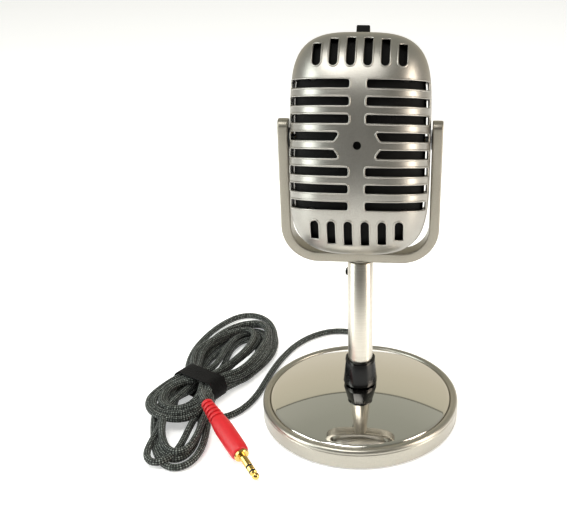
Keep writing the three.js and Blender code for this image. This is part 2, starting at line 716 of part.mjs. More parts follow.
const SHELL_SCREW_PLACES = [
  ['top_left', -SHELL_SCREW_X, SHELL_SCREW_Z],
  ['top_right', SHELL_SCREW_X, SHELL_SCREW_Z],
  ['bottom_left', -SHELL_SCREW_X, -SHELL_SCREW_Z],
  ['bottom_right', SHELL_SCREW_X, -SHELL_SCREW_Z],
];
const SCREW_SEAT_Y = 10.3;

function alongY(radius, x, z, from, to, segments = 12) {
  return rod(radius, v3(x, from, z), v3(x, to, z), segments);
}

function switchFrame() {
  const share = (1 - (SWITCH_Y / HEAD_HALF_DEPTH) ** EDGE_POWER) ** (1 / CROWN_POWER);
  const group = new THREE.Group();
  group.position.set(0, SWITCH_Y, share * HEAD_HALF_HEIGHT);
  group.rotation.x = -radians(SWITCH_LEAN);
  group.updateMatrixWorld(true);
  return group;
}

function addHead(parent) {
  const pivot = HEAD_BELOW_PIVOT;
  const pivotBore = rod(PIVOT_SCREW_RADIUS + TURN_GAP, v3(-40, 0, pivot), v3(40, 0, pivot), 12);

  const frontPosts = SHELL_SCREW_PLACES.map(([, x, z]) => alongY(BOSS_RADIUS, x, z, -22, -HEAD_SEAM));
  const frontHoles = SHELL_SCREW_PLACES.map(([, x, z]) => alongY(SHELL_SCREW_RADIUS + 0.3, x, z, -8.5, 1));
  const port = alongY(PORT_RADIUS, 0, 0, -30, -15, 16);
  const frontBody = bowl(0, HEAD_WALL, HEAD_SEAM, -1, SHELL_TURNS, SHELL_RINGS);
  const frontPostBody = frontPosts.map((post) => carve(post, { keep: [fullHalf(0.6, -1)] }));
  const frontShell = carve(frontBody, {
    add: frontPostBody,
    cut: [...frontHoles, port, pivotBore, ...grilleCutters(-1, true)],
  });
  namedMesh(parent, 'front_shell', frontShell, SATIN_GREY);

  const rearPosts = SHELL_SCREW_PLACES.map(([, x, z]) => alongY(BOSS_RADIUS, x, z, HEAD_SEAM, 22));
  const rearPostBody = rearPosts.map((post) => carve(post, { keep: [fullHalf(0.6, 1)] }));
  const rearHoles = SHELL_SCREW_PLACES.flatMap(([, x, z]) => [
    alongY(SHELL_SCREW_RADIUS + 0.3, x, z, -1, 30),
    alongY(SHELL_SCREW_HEAD + 0.3, x, z, SCREW_SEAT_Y, 30),
  ]);
  const frame = switchFrame();
  const opening = block(
    KNOB_WIDTH + 2 * TURN_GAP,
    KNOB_LENGTH + KNOB_TRAVEL + 2 * TURN_GAP,
    12,
    0,
    KNOB_TRAVEL / 2,
    0,
  ).applyMatrix4(frame.matrixWorld);
  const rearShell = carve(bowl(0, HEAD_WALL, HEAD_SEAM, 1, SHELL_TURNS, SHELL_RINGS), {
    add: rearPostBody,
    cut: [...rearHoles, pivotBore, opening, ...grilleCutters(1, false)],
  });
  namedMesh(parent, 'rear_shell', rearShell, SATIN_GREY);

  const linerInset = HEAD_WALL + LINER_GAP;
  const postRoom = (from, to) => SHELL_SCREW_PLACES.map(
    ([, x, z]) => alongY(BOSS_RADIUS + 0.4, x, z, from, to),
  );
  const pivotRoom = rod(INSERT_RADIUS + 0.8, v3(-40, 0, pivot), v3(40, 0, pivot), 12);
  const liner = (sign) => bowl(linerInset, LINER_THICKNESS, HEAD_SEAM, sign, LINER_TURNS, LINER_RINGS);
  const frontLiner = carve(liner(-1), {
    cut: [...postRoom(-30, 5), pivotRoom],
  });
  namedMesh(parent, 'front_liner', frontLiner, BLACK_MESH);
  const switchRoom = block(KNOB_WIDTH + 4, 17, 14, 0, KNOB_TRAVEL / 2, -2).applyMatrix4(frame.matrixWorld);
  const rearLiner = carve(liner(1), {
    cut: [...postRoom(-5, 30), pivotRoom, switchRoom],
  });
  namedMesh(parent, 'rear_liner', rearLiner, BLACK_MESH);

  SHELL_SCREW_PLACES.forEach(([word, x, z]) => {
    const seat = SCREW_SEAT_Y + 0.3;
    const screw = carve(alongY(SHELL_SCREW_RADIUS, x, z, -7.5, seat + 0.5), {
      add: [alongY(SHELL_SCREW_HEAD, x, z, seat, seat + 1.4)],
    });
    namedMesh(parent, `shell_screw_${word}`, screw, STEEL);
  });

  [['left', -1], ['right', 1]].forEach(([word, side]) => {
    const outer = HEAD_HALF_WIDTH - HEAD_WALL - 0.9;
    const at = (x) => v3(side * x, 0, pivot);
    const insert = carve(rod(INSERT_RADIUS, at(outer - INSERT_LENGTH), at(outer), 6), {
      cut: [rod(PIVOT_SCREW_RADIUS + TURN_GAP, at(10), at(40), 12)],
    });
    namedMesh(parent, `pivot_insert_${word}`, insert, BRASS);
  });

  const capsuleRear = CAPSULE_FRONT + CAPSULE_LENGTH;
  namedMesh(parent, 'capsule', alongY(CAPSULE_RADIUS, 0, 0, CAPSULE_FRONT, capsuleRear, 18), STEEL);
  const bootInner = CAPSULE_RADIUS + SEAT_GAP;
  const boot = carve(alongY(bootInner + BOOT_WALL, 0, 0, CAPSULE_FRONT + 1, BRACKET_Y - SEAT_GAP, 18), {
    cut: [alongY(bootInner, 0, 0, CAPSULE_FRONT - 5, capsuleRear + SEAT_GAP, 18), alongY(3, 0, 0, -30, 0)],
  });
  namedMesh(parent, 'capsule_boot', boot, BLACK_RUBBER);

  const bracketRear = BRACKET_Y + BRACKET_THICKNESS;
  const bracket = carve(slab(roundedBox(13, 24, 3), BRACKET_Y, bracketRear, 4), {
    cut: [alongY(3, 0, 0, -30, 0)],
  });
  namedMesh(parent, 'capsule_bracket', bracket, BLACK_PLASTIC);
  const board = slab(roundedBox(16, 25, 1.5), BOARD_Y, BOARD_Y + BOARD_THICKNESS, 3);
  namedMesh(parent, 'circuit_board', board, GREEN_BOARD);

  const caseTop = -SWITCH_BELOW;
  const caseBody = block(7.4, 10.4, 4.6, 0, KNOB_TRAVEL / 2, caseTop - 2.3).applyMatrix4(frame.matrixWorld);
  namedMesh(parent, 'switch_case', caseBody, STEEL);

  const lead = cordTube([
    v3(8, BOARD_Y + 3.4, -20), v3(13, BOARD_Y + 4.4, -13), v3(18, BOARD_Y + 2, -4),
    v3(19.5, 3.5, 1), v3(20.5, 1, pivot),
  ], INNER_LEAD_RADIUS, 16);
  namedMesh(parent, 'head_lead', lead, BLACK_RUBBER);
  return frame;
}

function addSwitchKnob(parent, frame) {
  const holder = new THREE.Group();
  holder.position.copy(frame.position);
  holder.rotation.copy(frame.rotation);
  parent.add(holder);
  const bottom = -SWITCH_BELOW + SEAT_GAP;
  const height = KNOB_PROUD - bottom;
  const knob = block(KNOB_WIDTH, KNOB_LENGTH, height, 0, 0, bottom + height / 2);
  namedMesh(holder, 'switch_knob', knob, BLACK_PLASTIC);
}

// ---------------------------------------------------------------- cord, hank and plug

const CORD_ROUTE = [
  v3(0, 62.0, 5.3), v3(0.1, 66, 3.7), v3(-1.3, 71, 2.2), v3(-5.5, 76, CORD_HEIGHT),
  v3(-13.5, 79, CORD_HEIGHT), v3(-23.6, 77.8, CORD_HEIGHT), v3(-32.4, 71.8, CORD_HEIGHT),
  v3(-40.2, 62, CORD_HEIGHT), v3(-45.9, 48.5, CORD_HEIGHT), v3(-49.4, 35.8, CORD_HEIGHT),
  v3(-51.9, 22, CORD_HEIGHT), v3(-53.9, 9.4, CORD_HEIGHT), v3(-57, -1, CORD_HEIGHT),
  v3(-61.2, -8.8, CORD_HEIGHT), v3(-66, -13.6, CORD_HEIGHT), v3(-71.8, -15.4, CORD_HEIGHT),
];

// The hank seen from above: a long lobe behind the tie and a folded one in front of it.
const HANK_OUTLINE = [
  [-95, 17], [-99, 34], [-101, 52], [-97, 72], [-89.5, 88], [-78, 97.5], [-67, 97],
  [-58, 87], [-52, 71], [-50.5, 56], [-52.6, 38], [-57.5, 20], [-66, 6], [-72.4, -4],
  [-72.4, -18], [-70, -40], [-69.5, -54], [-77, -59.5], [-90, -55], [-99, -52], [-103.5, -37],
  [-106.5, -22], [-110.5, -8], [-107, 5], [-99, 10],
];

function tieFrame(geometry) {
  return geometry.rotateZ(radians(TIE_TURN - 90)).translate(TIE_X, TIE_Y, 0);
}

function tieShape(shrink) {
  const middle = (TIE_TOP + TIE_BOTTOM) / 2;
  const halfHeight = (TIE_TOP - TIE_BOTTOM) / 2 - shrink;
  const box = roundedBox(TIE_HALF_WIDTH - shrink, halfHeight, TIE_CORNER - shrink * 0.6);
  return (front, rear) => slab(box, front, rear, 5).translate(0, 0, middle);
}

function addCord(parent) {
  const inner = GLAND_INNER - SEAT_GAP;
  const outer = GLAND_INNER + RING_WALL + SEAT_GAP;
  const gland = turned([
    [0, 0], [GLAND_ROOT, 0], [GLAND_ROOT, inner], [GLAND_NECK, inner], [GLAND_NECK, outer],
    [GLAND_ROOT, outer], [GLAND_ROOT, outer + 1.6], [GLAND_TIP + 0.4, outer + 3.4],
    [GLAND_TIP, outer + GLAND_LENGTH - 1], [0, outer + GLAND_LENGTH - 1],
  ], 16).rotateX(-Math.PI / 2).translate(0, BASE_RADIUS - RING_WALL - GLAND_INNER, GLAND_HEIGHT);
  namedMesh(parent, 'cord_gland', gland, BLACK_RUBBER);

  namedMesh(parent, 'cord_lead', cordTube(CORD_ROUTE, CORD_RADIUS, 36), GREY_BRAID);

  const outline = new THREE.Shape(HANK_OUTLINE.map(([x, y]) => v2(x, y)));
  const reach = TIE_LENGTH / 2 + SEAT_GAP;
  const slabAcross = block(60, 2 * reach, 40, 0, 0, 10);
  const passage = tieShape(TIE_THICKNESS + SEAT_GAP)(-reach - 1, reach + 1);
  const notch = tieFrame(carve(slabAcross, { cut: [passage] }));
  const hank = carve(prism(outline, HANK_BOTTOM, HANK_TOP), { cut: [notch] });
  namedMesh(parent, 'cord_hank', hank, GREY_BRAID);

  const tie = carve(tieShape(0)(-TIE_LENGTH / 2, TIE_LENGTH / 2), {
    cut: [tieShape(TIE_THICKNESS)(-TIE_LENGTH, TIE_LENGTH)],
  });
  namedMesh(parent, 'hank_tie', tieFrame(tie), HOOK_TAPE);
}

function gripProfile(length) {
  const profile = [[0, 0], [2.5, 0]];
  const ribs = 5;
  const pitch = 2.5;
  for (let i = 0; i < ribs; i += 1) {
    const r = 2.9 + 0.22 * i;
    const z = 0.6 + pitch * i;
    profile.push([r, z], [r, z + 1.5], [r - 0.6, z + 1.8], [r - 0.6, z + 2.2]);
  }
  profile.push([4.1, 14.4], [4.5, 18], [4.5, length - 6], [4.2, length - 1], [3.9, length], [0, length]);
  return profile;
}

function addPlug(parent) {
  const holder = new THREE.Group();
  const along = PLUG_NOSE.clone().sub(PLUG_REAR);
  const gripLength = along.length() - PIN_LENGTH - 2;
  holder.position.copy(PLUG_REAR);
  holder.quaternion.setFromUnitVectors(v3(0, 0, 1), along.clone().normalize());
  parent.add(holder);

  namedMesh(holder, 'plug_grip', turned(gripProfile(gripLength), 12), RED_PVC);
  const flange = gripLength + SEAT_GAP;
  const root = flange + 1.4;
  const sleeveEnd = root + 6.2;
  const band = 0.7;
  const sleeve = turned([
    [0, flange], [PLUG_FLANGE, flange], [PLUG_FLANGE, root],
    [PIN_RADIUS, root], [PIN_RADIUS, sleeveEnd], [0, sleeveEnd],
  ], 12);
  namedMesh(holder, 'plug_sleeve', sleeve, GOLD);
  const first = sleeveEnd + SEAT_GAP;
  namedMesh(holder, 'plug_insulator_1', disc(PIN_RADIUS - 0.1, first, first + band, 12), BLACK_PLASTIC);
  const ringStart = first + band + SEAT_GAP;
  const ringEnd = ringStart + 1.7;
  namedMesh(holder, 'plug_ring_contact', disc(PIN_RADIUS, ringStart, ringEnd, 12), GOLD);
  const second = ringEnd + SEAT_GAP;
  namedMesh(holder, 'plug_insulator_2', disc(PIN_RADIUS - 0.1, second, second + band, 12), BLACK_PLASTIC);
  const tip = second + band + SEAT_GAP;
  const end = along.length();
  const tipShape = turned([
    [0, tip], [PIN_RADIUS, tip], [PIN_RADIUS, tip + 0.5], [1.15, tip + 1.3],
    [PIN_RADIUS - 0.05, end - 1.7], [0.5, end], [0, end],
  ], 12);
  namedMesh(holder, 'plug_tip', tipShape, GOLD);
}

function addBaseWiring(parent) {
  const start = BASE_RADIUS - RING_WALL - GLAND_INNER - SEAT_GAP;
  const route = [v3(0, start, GLAND_HEIGHT), ...LEAD_ROUTE];
  namedMesh(parent, 'base_lead', cordTube(route, INNER_LEAD_RADIUS, 22, 6), BLACK_RUBBER);
  const clampY = 37;
  const top = GLAND_HEIGHT + 3.4;
  const clampBottom = COVER_TOP + SEAT_GAP;
  const clampHeight = top - clampBottom;
  const clamp = carve(block(13, 6, clampHeight, 0, clampY, clampBottom + clampHeight / 2), {
    cut: [
      cordTube(route, INNER_LEAD_RADIUS + 0.3, 22, 6),
      block(3.4, 8, 4, 0, clampY, clampBottom + 0.4),
      rod(1.1 + SCREW_CLEARANCE, v3(4.6, clampY, 0), v3(4.6, clampY, 20), 12),
    ],
  });
  namedMesh(parent, 'cord_clamp', clamp, BLACK_PLASTIC);
}

// ---------------------------------------------------------------- assembly

const microphone = new THREE.Group();
addBase(microphone);
addBaseWiring(microphone);
addCord(microphone);
addPlug(microphone);
addCollar(microphone);
addStem(microphone);

const head = new THREE.Group();
head.position.copy(HEAD_CENTRE);
head.rotation.x = -radians(HEAD_TILT);
microphone.add(head);
addSwitchKnob(head, addHead(head));

export default microphone;
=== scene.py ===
# %% [markdown]
# # A desk microphone in Blender
# The real object is a retro desk microphone: a slotted, satin-painted head that tilts in a U-shaped
# yoke, a plated stem, a round base with a mirror dome, and a braided cord tied up in a hank.
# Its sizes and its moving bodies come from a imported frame. This lesson adds the fine surfaces
# and the finishes round that frame, without moving or resizing anything in it.

# %% Load the frame
import json
import math

import bmesh
import bpy
from mathutils import Matrix, Vector

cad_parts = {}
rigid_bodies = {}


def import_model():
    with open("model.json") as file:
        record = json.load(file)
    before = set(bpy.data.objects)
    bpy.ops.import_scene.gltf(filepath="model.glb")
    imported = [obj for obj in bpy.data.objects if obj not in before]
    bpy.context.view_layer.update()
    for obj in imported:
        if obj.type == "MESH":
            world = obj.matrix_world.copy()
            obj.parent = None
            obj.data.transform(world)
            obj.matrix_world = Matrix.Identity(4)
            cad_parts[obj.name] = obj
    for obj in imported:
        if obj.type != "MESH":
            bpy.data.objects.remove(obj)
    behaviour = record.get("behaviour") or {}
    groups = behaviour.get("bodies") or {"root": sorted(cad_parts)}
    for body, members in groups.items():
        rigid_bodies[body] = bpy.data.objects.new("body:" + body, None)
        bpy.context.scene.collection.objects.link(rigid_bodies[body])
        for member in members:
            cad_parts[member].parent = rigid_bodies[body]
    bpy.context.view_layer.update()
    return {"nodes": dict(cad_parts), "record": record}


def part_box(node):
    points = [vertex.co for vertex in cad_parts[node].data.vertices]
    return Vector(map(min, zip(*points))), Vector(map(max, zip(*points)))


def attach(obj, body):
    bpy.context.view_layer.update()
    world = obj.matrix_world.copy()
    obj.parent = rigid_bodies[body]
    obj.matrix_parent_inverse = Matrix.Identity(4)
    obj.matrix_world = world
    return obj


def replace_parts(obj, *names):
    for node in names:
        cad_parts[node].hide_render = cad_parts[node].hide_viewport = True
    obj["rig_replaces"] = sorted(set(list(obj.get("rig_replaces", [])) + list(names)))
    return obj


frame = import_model()
MM = 0.001
print("nodes", len(frame["nodes"]))

# %% [markdown]
# The camera comes first, because the cord has to lie where the camera sees it. The object is seen
# from a little above and slightly from its right. A lens of about 53 mm on a 36 mm sensor gives the
# mild perspective of a product picture, and the shift sets the object to the right of the middle.

# %% Camera
CAMERA_TURN = 3.7        # degrees round the object, towards +X
CAMERA_DROP = 24.5       # degrees below the horizon
CAMERA_DISTANCE = 0.3958
CAMERA_AIM = Vector((0, 0, 0.0807))
CAMERA_LENS = 53.33
CAMERA_SHIFT = -0.1355


def add_camera():
    data = bpy.data.cameras.new("camera")
    data.lens = CAMERA_LENS
    data.shift_x = CAMERA_SHIFT
    data.clip_start = 0.01
    data.clip_end = 50
    camera = bpy.data.objects.new("camera", data)
    turn, drop = math.radians(CAMERA_TURN), math.radians(CAMERA_DROP)
    back = Vector((math.sin(turn) * math.cos(drop), -math.cos(turn) * math.cos(drop), math.sin(drop)))
    camera.location = CAMERA_AIM + back * CAMERA_DISTANCE
    camera.rotation_euler = (-back).to_track_quat("-Z", "Y").to_euler()
    bpy.context.scene.collection.objects.link(camera)
    bpy.context.scene.camera = camera
    return camera


print("camera at", add_camera().location[:])
# The plain view shows a finish in the colour that its hex code names.
bpy.context.scene.view_settings.view_transform = "Standard"

# %% [markdown]
# Every finish below is a small group of shader nodes. One helper adds a node with its settings and
# its links, and one function turns a hex colour, as a paint chart gives it, into the linear numbers
# that the renderer works with.

# %% Helpers for finishes


def colour(hex_text):
    channels = [int(hex_text[i:i + 2], 16) / 255 for i in (1, 3, 5)]
    linear = [c / 12.92 if c <= 0.04045 else ((c + 0.055) / 1.055) ** 2.4 for c in channels]
    return (*linear, 1.0)


def new_finish(name, **sockets):
    finish = bpy.data.materials.new(name)
    finish.use_nodes = True
    shader = finish.node_tree.nodes["Principled BSDF"]
    for label, value in sockets.items():
        shader.inputs[label.replace("_", " ")].default_value = value
    return finish, finish.node_tree, shader


def add_node(tree, kind, settings=None, inputs=None):
    node = tree.nodes.new(kind)
    for label, value in (settings or {}).items():
        setattr(node, label, value)
    for label, value in (inputs or {}).items():
        if isinstance(value, bpy.types.NodeSocket):
            tree.links.new(value, node.inputs[label])
        else:
            node.inputs[label].default_value = value
    return node


def ramp(tree, fac, stops):
    node = add_node(tree, "ShaderNodeValToRGB", inputs={"Fac": fac})
    band = node.color_ramp
    while len(band.elements) < len(stops):
        band.elements.new(0.5)
    for element, (place, tint) in zip(band.elements, stops):
        element.position = place
        element.color = tint
    return node.outputs["Color"]


def object_place(tree):
    return add_node(tree, "ShaderNodeTexCoord").outputs["Object"]


def grain(tree, scale_mm, detail=3.0):
    """Noise whose lumps are about scale_mm across."""
    noise = add_node(tree, "ShaderNodeTexNoise", inputs={
        "Vector": object_place(tree), "Scale": 1 / (scale_mm * MM), "Detail": detail,
    })
    return noise.outputs["Fac"]


def maths(tree, operation, *values):
    return add_node(tree, "ShaderNodeMath", {"operation": operation}, dict(enumerate(values))).outputs[0]


def set_gleam(finish, level):
    """How much a finish that is not metal mirrors the room."""
    finish.node_tree.nodes["Principled BSDF"].inputs["Specular IOR Level"].default_value = level


def bump(tree, shader, height, depth_mm, strength=0.5):
    node = add_node(tree, "ShaderNodeBump", inputs={
        "Height": height, "Distance": depth_mm * MM, "Strength": strength,
    })
    tree.links.new(node.outputs["Normal"], shader.inputs["Normal"])


# %% [markdown]
# Satin metallic paint is a clear film with aluminium flakes in it. It reads as a soft metal: a broad
# highlight, a faint sparkle from the flakes, and no sharp reflections. The flakes are really 0.02 mm
# across, so they are drawn at 0.35 mm to show at all, and a slow cloud varies the gloss.

# %% Metallic paints


def satin_paint(name, base_hex, dark_hex, roughness=0.36):
    finish, tree, shader = new_finish(name, Metallic=0.9, Roughness=roughness)
    flakes = grain(tree, 0.35, 2.0)
    tint = ramp(tree, flakes, [(0.3, colour(dark_hex)), (0.7, colour(base_hex))])
    tree.links.new(tint, shader.inputs["Base Color"])
    cloud = grain(tree, 14.0, 2.0)
    gloss = add_node(tree, "ShaderNodeMapRange", inputs={
        "Value": cloud, "To Min": roughness - 0.03, "To Max": roughness + 0.04,
    })
    tree.links.new(gloss.outputs["Result"], shader.inputs["Roughness"])
    bump(tree, shader, flakes, 0.01, 0.35)
    return finish


HEAD_PAINT = satin_paint("satin_silver_paint_on_abs", "#aeaba5", "#9e9b95", 0.34)
YOKE_PAINT = satin_paint("satin_silver_paint_on_zinc", "#a19c91", "#928d82", 0.38)
RING_PAINT = satin_paint("satin_silver_paint_on_steel", "#b8b4aa", "#a8a49a", 0.30)
print("paints", HEAD_PAINT.name, YOKE_PAINT.name, RING_PAINT.name)

# %% [markdown]
# Plated metal is smoother. The stem is satin nickel: a tube brushed round and then plated, so its
# highlight spreads along the tube. The dome is mirror chrome, which is almost perfectly smooth, and
# only a trace of polishing haze keeps it from looking computed.

# %% Plated metals


def satin_nickel():
    finish, tree, shader = new_finish("satin_nickel_plate", Metallic=1.0, Roughness=0.3)
    place = add_node(tree, "ShaderNodeMapping", inputs={
        "Vector": object_place(tree), "Scale": (40.0, 40.0, 2500.0),
    })
    lines = add_node(tree, "ShaderNodeTexNoise", inputs={
        "Vector": place.outputs["Vector"], "Scale": 1.0, "Detail": 2.0,
    }).outputs["Fac"]
    tint = ramp(tree, lines, [(0.3, colour("#cfc9bd")), (0.7, colour("#dcd7cc"))])
    tree.links.new(tint, shader.inputs["Base Color"])
    bump(tree, shader, lines, 0.004, 0.3)
    return finish


def mirror_chrome():
    finish, tree, shader = new_finish("polished_chrome_plate", Metallic=1.0, Roughness=0.03)
    shader.inputs["Base Color"].default_value = colour("#efece6")
    haze = grain(tree, 22.0, 3.0)
    gloss = add_node(tree, "ShaderNodeMapRange", inputs={
        "Value": haze, "To Min": 0.015, "To Max": 0.06,
    })
    tree.links.new(gloss.outputs["Result"], shader.inputs["Roughness"])
    return finish


def plain_metal(name, hex_text, roughness, grain_mm=0.6, dark=0.85):
    finish, tree, shader = new_finish(name, Metallic=1.0, Roughness=roughness)
    lumps = grain(tree, grain_mm, 3.0)
    light = colour(hex_text)
    shade = tuple(c * dark for c in light[:3]) + (1.0,)
    tree.links.new(ramp(tree, lumps, [(0.3, shade), (0.7, light)]), shader.inputs["Base Color"])
    bump(tree, shader, lumps, 0.02, 0.25)
    return finish


NICKEL = satin_nickel()
CHROME = mirror_chrome()
ZINC_STEEL = plain_metal("zinc_plated_steel", "#b9bbbd", 0.3)
BLACK_STEEL = plain_metal("black_oxide_steel", "#2a2a2b", 0.4)
CAST_IRON = plain_metal("sand_cast_iron", "#5a5a5c", 0.65, 1.2, 0.6)
BRASS = plain_metal("turned_brass", "#d6b464", 0.28)
TINPLATE = plain_metal("pressed_tinplate", "#c9cac8", 0.25)
GOLD = plain_metal("gold_plated_brass", "#e6c372", 0.16, 0.8, 0.9)

# %% [markdown]
# The mouldings are plastics and rubbers. They differ in how the mould was finished: polished steel
# gives a gloss, spark-eroded steel a fine pebble, and rubber comes out dull and slightly uneven.

# %% Plastics and rubbers


def moulded(name, hex_text, roughness, pebble_mm, depth_mm, lift=1.25, **sockets):
    finish, tree, shader = new_finish(name, Roughness=roughness, **sockets)
    lumps = grain(tree, pebble_mm, 3.0)
    base = colour(hex_text)
    light = tuple(min(1.0, c * lift) for c in base[:3]) + (1.0,)
    tree.links.new(ramp(tree, lumps, [(0.35, base), (0.75, light)]), shader.inputs["Base Color"])
    bump(tree, shader, lumps, depth_mm, 0.35)
    return finish


GLOSS_ABS = moulded("gloss_black_abs", "#080809", 0.2, 6.0, 0.01)
set_gleam(GLOSS_ABS, 0.3)
TEXTURED_ABS = moulded("spark_textured_black_abs", "#161617", 0.5, 0.5, 0.03)
BLACK_RUBBER = moulded("moulded_black_rubber", "#151516", 0.7, 0.8, 0.03)
BLACK_SHEATH = moulded("extruded_black_pvc", "#1a1a1b", 0.45, 1.5, 0.02)
NYLON = moulded("black_nylon", "#101011", 0.35, 0.8, 0.01)
RED_PVC = moulded("moulded_red_pvc", "#c4161f", 0.42, 1.6, 0.02, 1.12)
SOLDER_MASK = moulded("green_solder_mask", "#1c6a3c", 0.3, 3.0, 0.01)

# %% [markdown]
# Woven things get their pattern from a formula and not from noise. The liner behind the grille is
# black wire cloth: two families of wires that pass over and under each other. Its real pitch is
# near 0.5 mm. It is drawn at 0.9 mm so that single wires show through the slots.

# %% Woven finishes
CLOTH_PITCH = 0.9
CORD_RADIUS = 1.7
BRAID_PITCH = 2.3
BRAID_ROUND = 5          # yarns each way round the cord


def sine(tree, value, factor):
    return maths(tree, "SINE", maths(tree, "MULTIPLY", value, factor))


def weave_height(tree, one, other):
    """Where two families of waves cross: 1 on top of a yarn, 0 between yarns."""
    return add_node(tree, "ShaderNodeMapRange", inputs={
        "Value": maths(tree, "MULTIPLY", one, other), "From Min": -1.0, "From Max": 1.0,
    }).outputs["Result"]


def wire_cloth():
    finish, tree, shader = new_finish("black_wire_cloth", Roughness=0.6)
    place = add_node(tree, "ShaderNodeSeparateXYZ", inputs={"Vector": object_place(tree)})
    waves = 2 * math.pi / (CLOTH_PITCH * MM)
    height = weave_height(tree, sine(tree, place.outputs["X"], waves), sine(tree, place.outputs["Z"], waves))
    # The colour follows the weave's height, dark in its low parts and lighter on its raised ones: painted
    # shade between the wires.
    tint = ramp(tree, height, [(0.5, colour("#020202")), (0.95, colour("#1c1c1c"))])
    tree.links.new(tint, shader.inputs["Base Color"])
    bump(tree, shader, height, 0.2, 0.8)
    return finish


def cord_braid():
    """Yarns that wind both ways round the cord. The mesh's UVs are its length and girth in metres."""
    finish, tree, shader = new_finish("dark_grey_braided_polyester", Roughness=0.62)
    uv = add_node(tree, "ShaderNodeSeparateXYZ", inputs={
        "Vector": add_node(tree, "ShaderNodeTexCoord").outputs["UV"],
    })
    along = maths(tree, "MULTIPLY", uv.outputs["X"], 2 * math.pi / (BRAID_PITCH * MM))
    around = maths(tree, "MULTIPLY", uv.outputs["Y"], BRAID_ROUND / (CORD_RADIUS * MM))
    up, down = maths(tree, "ADD", along, around), maths(tree, "SUBTRACT", along, around)
    height = weave_height(tree, sine(tree, up, 1.0), sine(tree, down, 1.0))
    fuzz = grain(tree, 1.1, 2.0)
    # Darker between the yarns is painted shade. The fuzz varies the yarns' colour at random, up to pale
    # flecks on their tops.
    tint = ramp(tree, maths(tree, "MULTIPLY", height, fuzz), [
        (0.12, colour("#131514")), (0.32, colour("#343835")), (0.62, colour("#9aa09a")),
    ])
    tree.links.new(tint, shader.inputs["Base Color"])
    shader.inputs["Sheen Weight"].default_value = 0.1
    bump(tree, shader, height, 0.3, 0.9)
    return finish


def hook_tape():
    finish, tree, shader = new_finish("black_hook_and_loop_tape", Roughness=0.9)
    loops = grain(tree, 0.7, 4.0)
    tint = ramp(tree, loops, [(0.35, colour("#030303")), (0.8, colour("#151414"))])
    tree.links.new(tint, shader.inputs["Base Color"])
    shader.inputs["Sheen Weight"].default_value = 0.08
    bump(tree, shader, loops, 0.3, 0.8)
    return finish


WIRE_CLOTH = wire_cloth()
BRAID = cord_braid()
HOOK_TAPE = hook_tape()
for dull, gleam in ((WIRE_CLOTH, 0.12), (BRAID, 0.2), (HOOK_TAPE, 0.1)):
    set_gleam(dull, gleam)
print("woven finishes", WIRE_CLOTH.name, BRAID.name, HOOK_TAPE.name)

# %% [markdown]
# Most pieces of this object are turned, swept or pressed. So three mesh builders do nearly all of
# the work: rows of points joined into a skin, a profile spun round an axis, and a section carried
# along a path. All of them work in millimetres and give a closed mesh.

# %% Mesh builders


def finish_piece(name, verts, faces, material, body, smooth_angle):
    mesh = bpy.data.meshes.new(name)
    mesh.from_pydata([Vector(v) * MM for v in verts], [], faces)
    mesh.materials.append(material)
    mesh.validate()
    mesh.shade_smooth()
    mesh.set_sharp_from_angle(angle=math.radians(smooth_angle))
    piece = bpy.data.objects.new(name, mesh)
    bpy.context.scene.collection.objects.link(piece)
    if body:
        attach(piece, body)
    return piece


def skin(rows, wrap_rows=False, caps=False):
    """Faces between rows of equal length, each row a closed ring."""
    count, width = len(rows), len(rows[0])
    verts = [p for row in rows for p in row]
    faces = []
    for i in range(count if wrap_rows else count - 1):
        k = (i + 1) % count
        for j in range(width):
            m = (j + 1) % width
            faces.append((i * width + j, i * width + m, k * width + m, k * width + j))
    if caps:
        faces.append(tuple(range(width))[::-1])
        faces.append(tuple((count - 1) * width + j for j in range(width)))
    return verts, faces


def turned(profile, segments=96, closed=True):
    """Spin (radius, height) points round Z. An open profile begins and ends on the axis."""
    rows = []
    body = profile if closed else profile[1:-1]
    for r, z in body:
        rows.append([
            (r * math.cos(2 * math.pi * j / segments), r * math.sin(2 * math.pi * j / segments), z)
            for j in range(segments)
        ])
    verts, faces = skin(rows, wrap_rows=closed)
    if not closed:
        start, end = len(verts), len(verts) + 1
        verts += [(0, 0, profile[0][1]), (0, 0, profile[-1][1])]
        last = (len(rows) - 1) * segments
        for j in range(segments):
            m = (j + 1) % segments
            faces.append((start, m, j))
            faces.append((end, last + j, last + m))
    return verts, faces


def arc(cx, cz, radius, start, end, steps=6):
    angles = [math.radians(start + (end - start) * i / steps) for i in range(steps + 1)]
    return [(cx + radius * math.cos(a), cz + radius * math.sin(a)) for a in angles]


def moved(verts, matrix):
    return [tuple(matrix @ Vector(v)) for v in verts]


def joined(*parts):
    verts, faces = [], []
    for part_verts, part_faces in parts:
        shift = len(verts)
        verts += list(part_verts)
        faces += [tuple(i + shift for i in face) for face in part_faces]
    return verts, faces


def outward(piece):
    """Turn every face outwards."""
    data = bmesh.new()
    data.from_mesh(piece.data)
    bmesh.ops.recalc_face_normals(data, faces=data.faces)
    data.to_mesh(piece.data)
    data.free()
    return piece


def solid(name, mesh, material, body, smooth_angle=32, place=None):
    """A closed piece of verts and faces, laid at a place, whose faces all look outwards."""
    verts, faces = mesh
    if place:
        verts = moved(verts, place)
    return outward(finish_piece(name, verts, faces, material, body, smooth_angle))


def laid(mesh, place):
    return moved(mesh[0], place), mesh[1]


print("builders ready")


# %% [markdown]
# The cord leaves the back of the base, bends round to the left on the desk, and is then wound into
# a hank. The loose part is a short list of points. The hank is a loop: each turn goes up the long
# lobe behind the tie and comes back through it into one of the folded lobes in front, and each
# turn takes its own lane and layer so that the strands lie side by side and on each other.

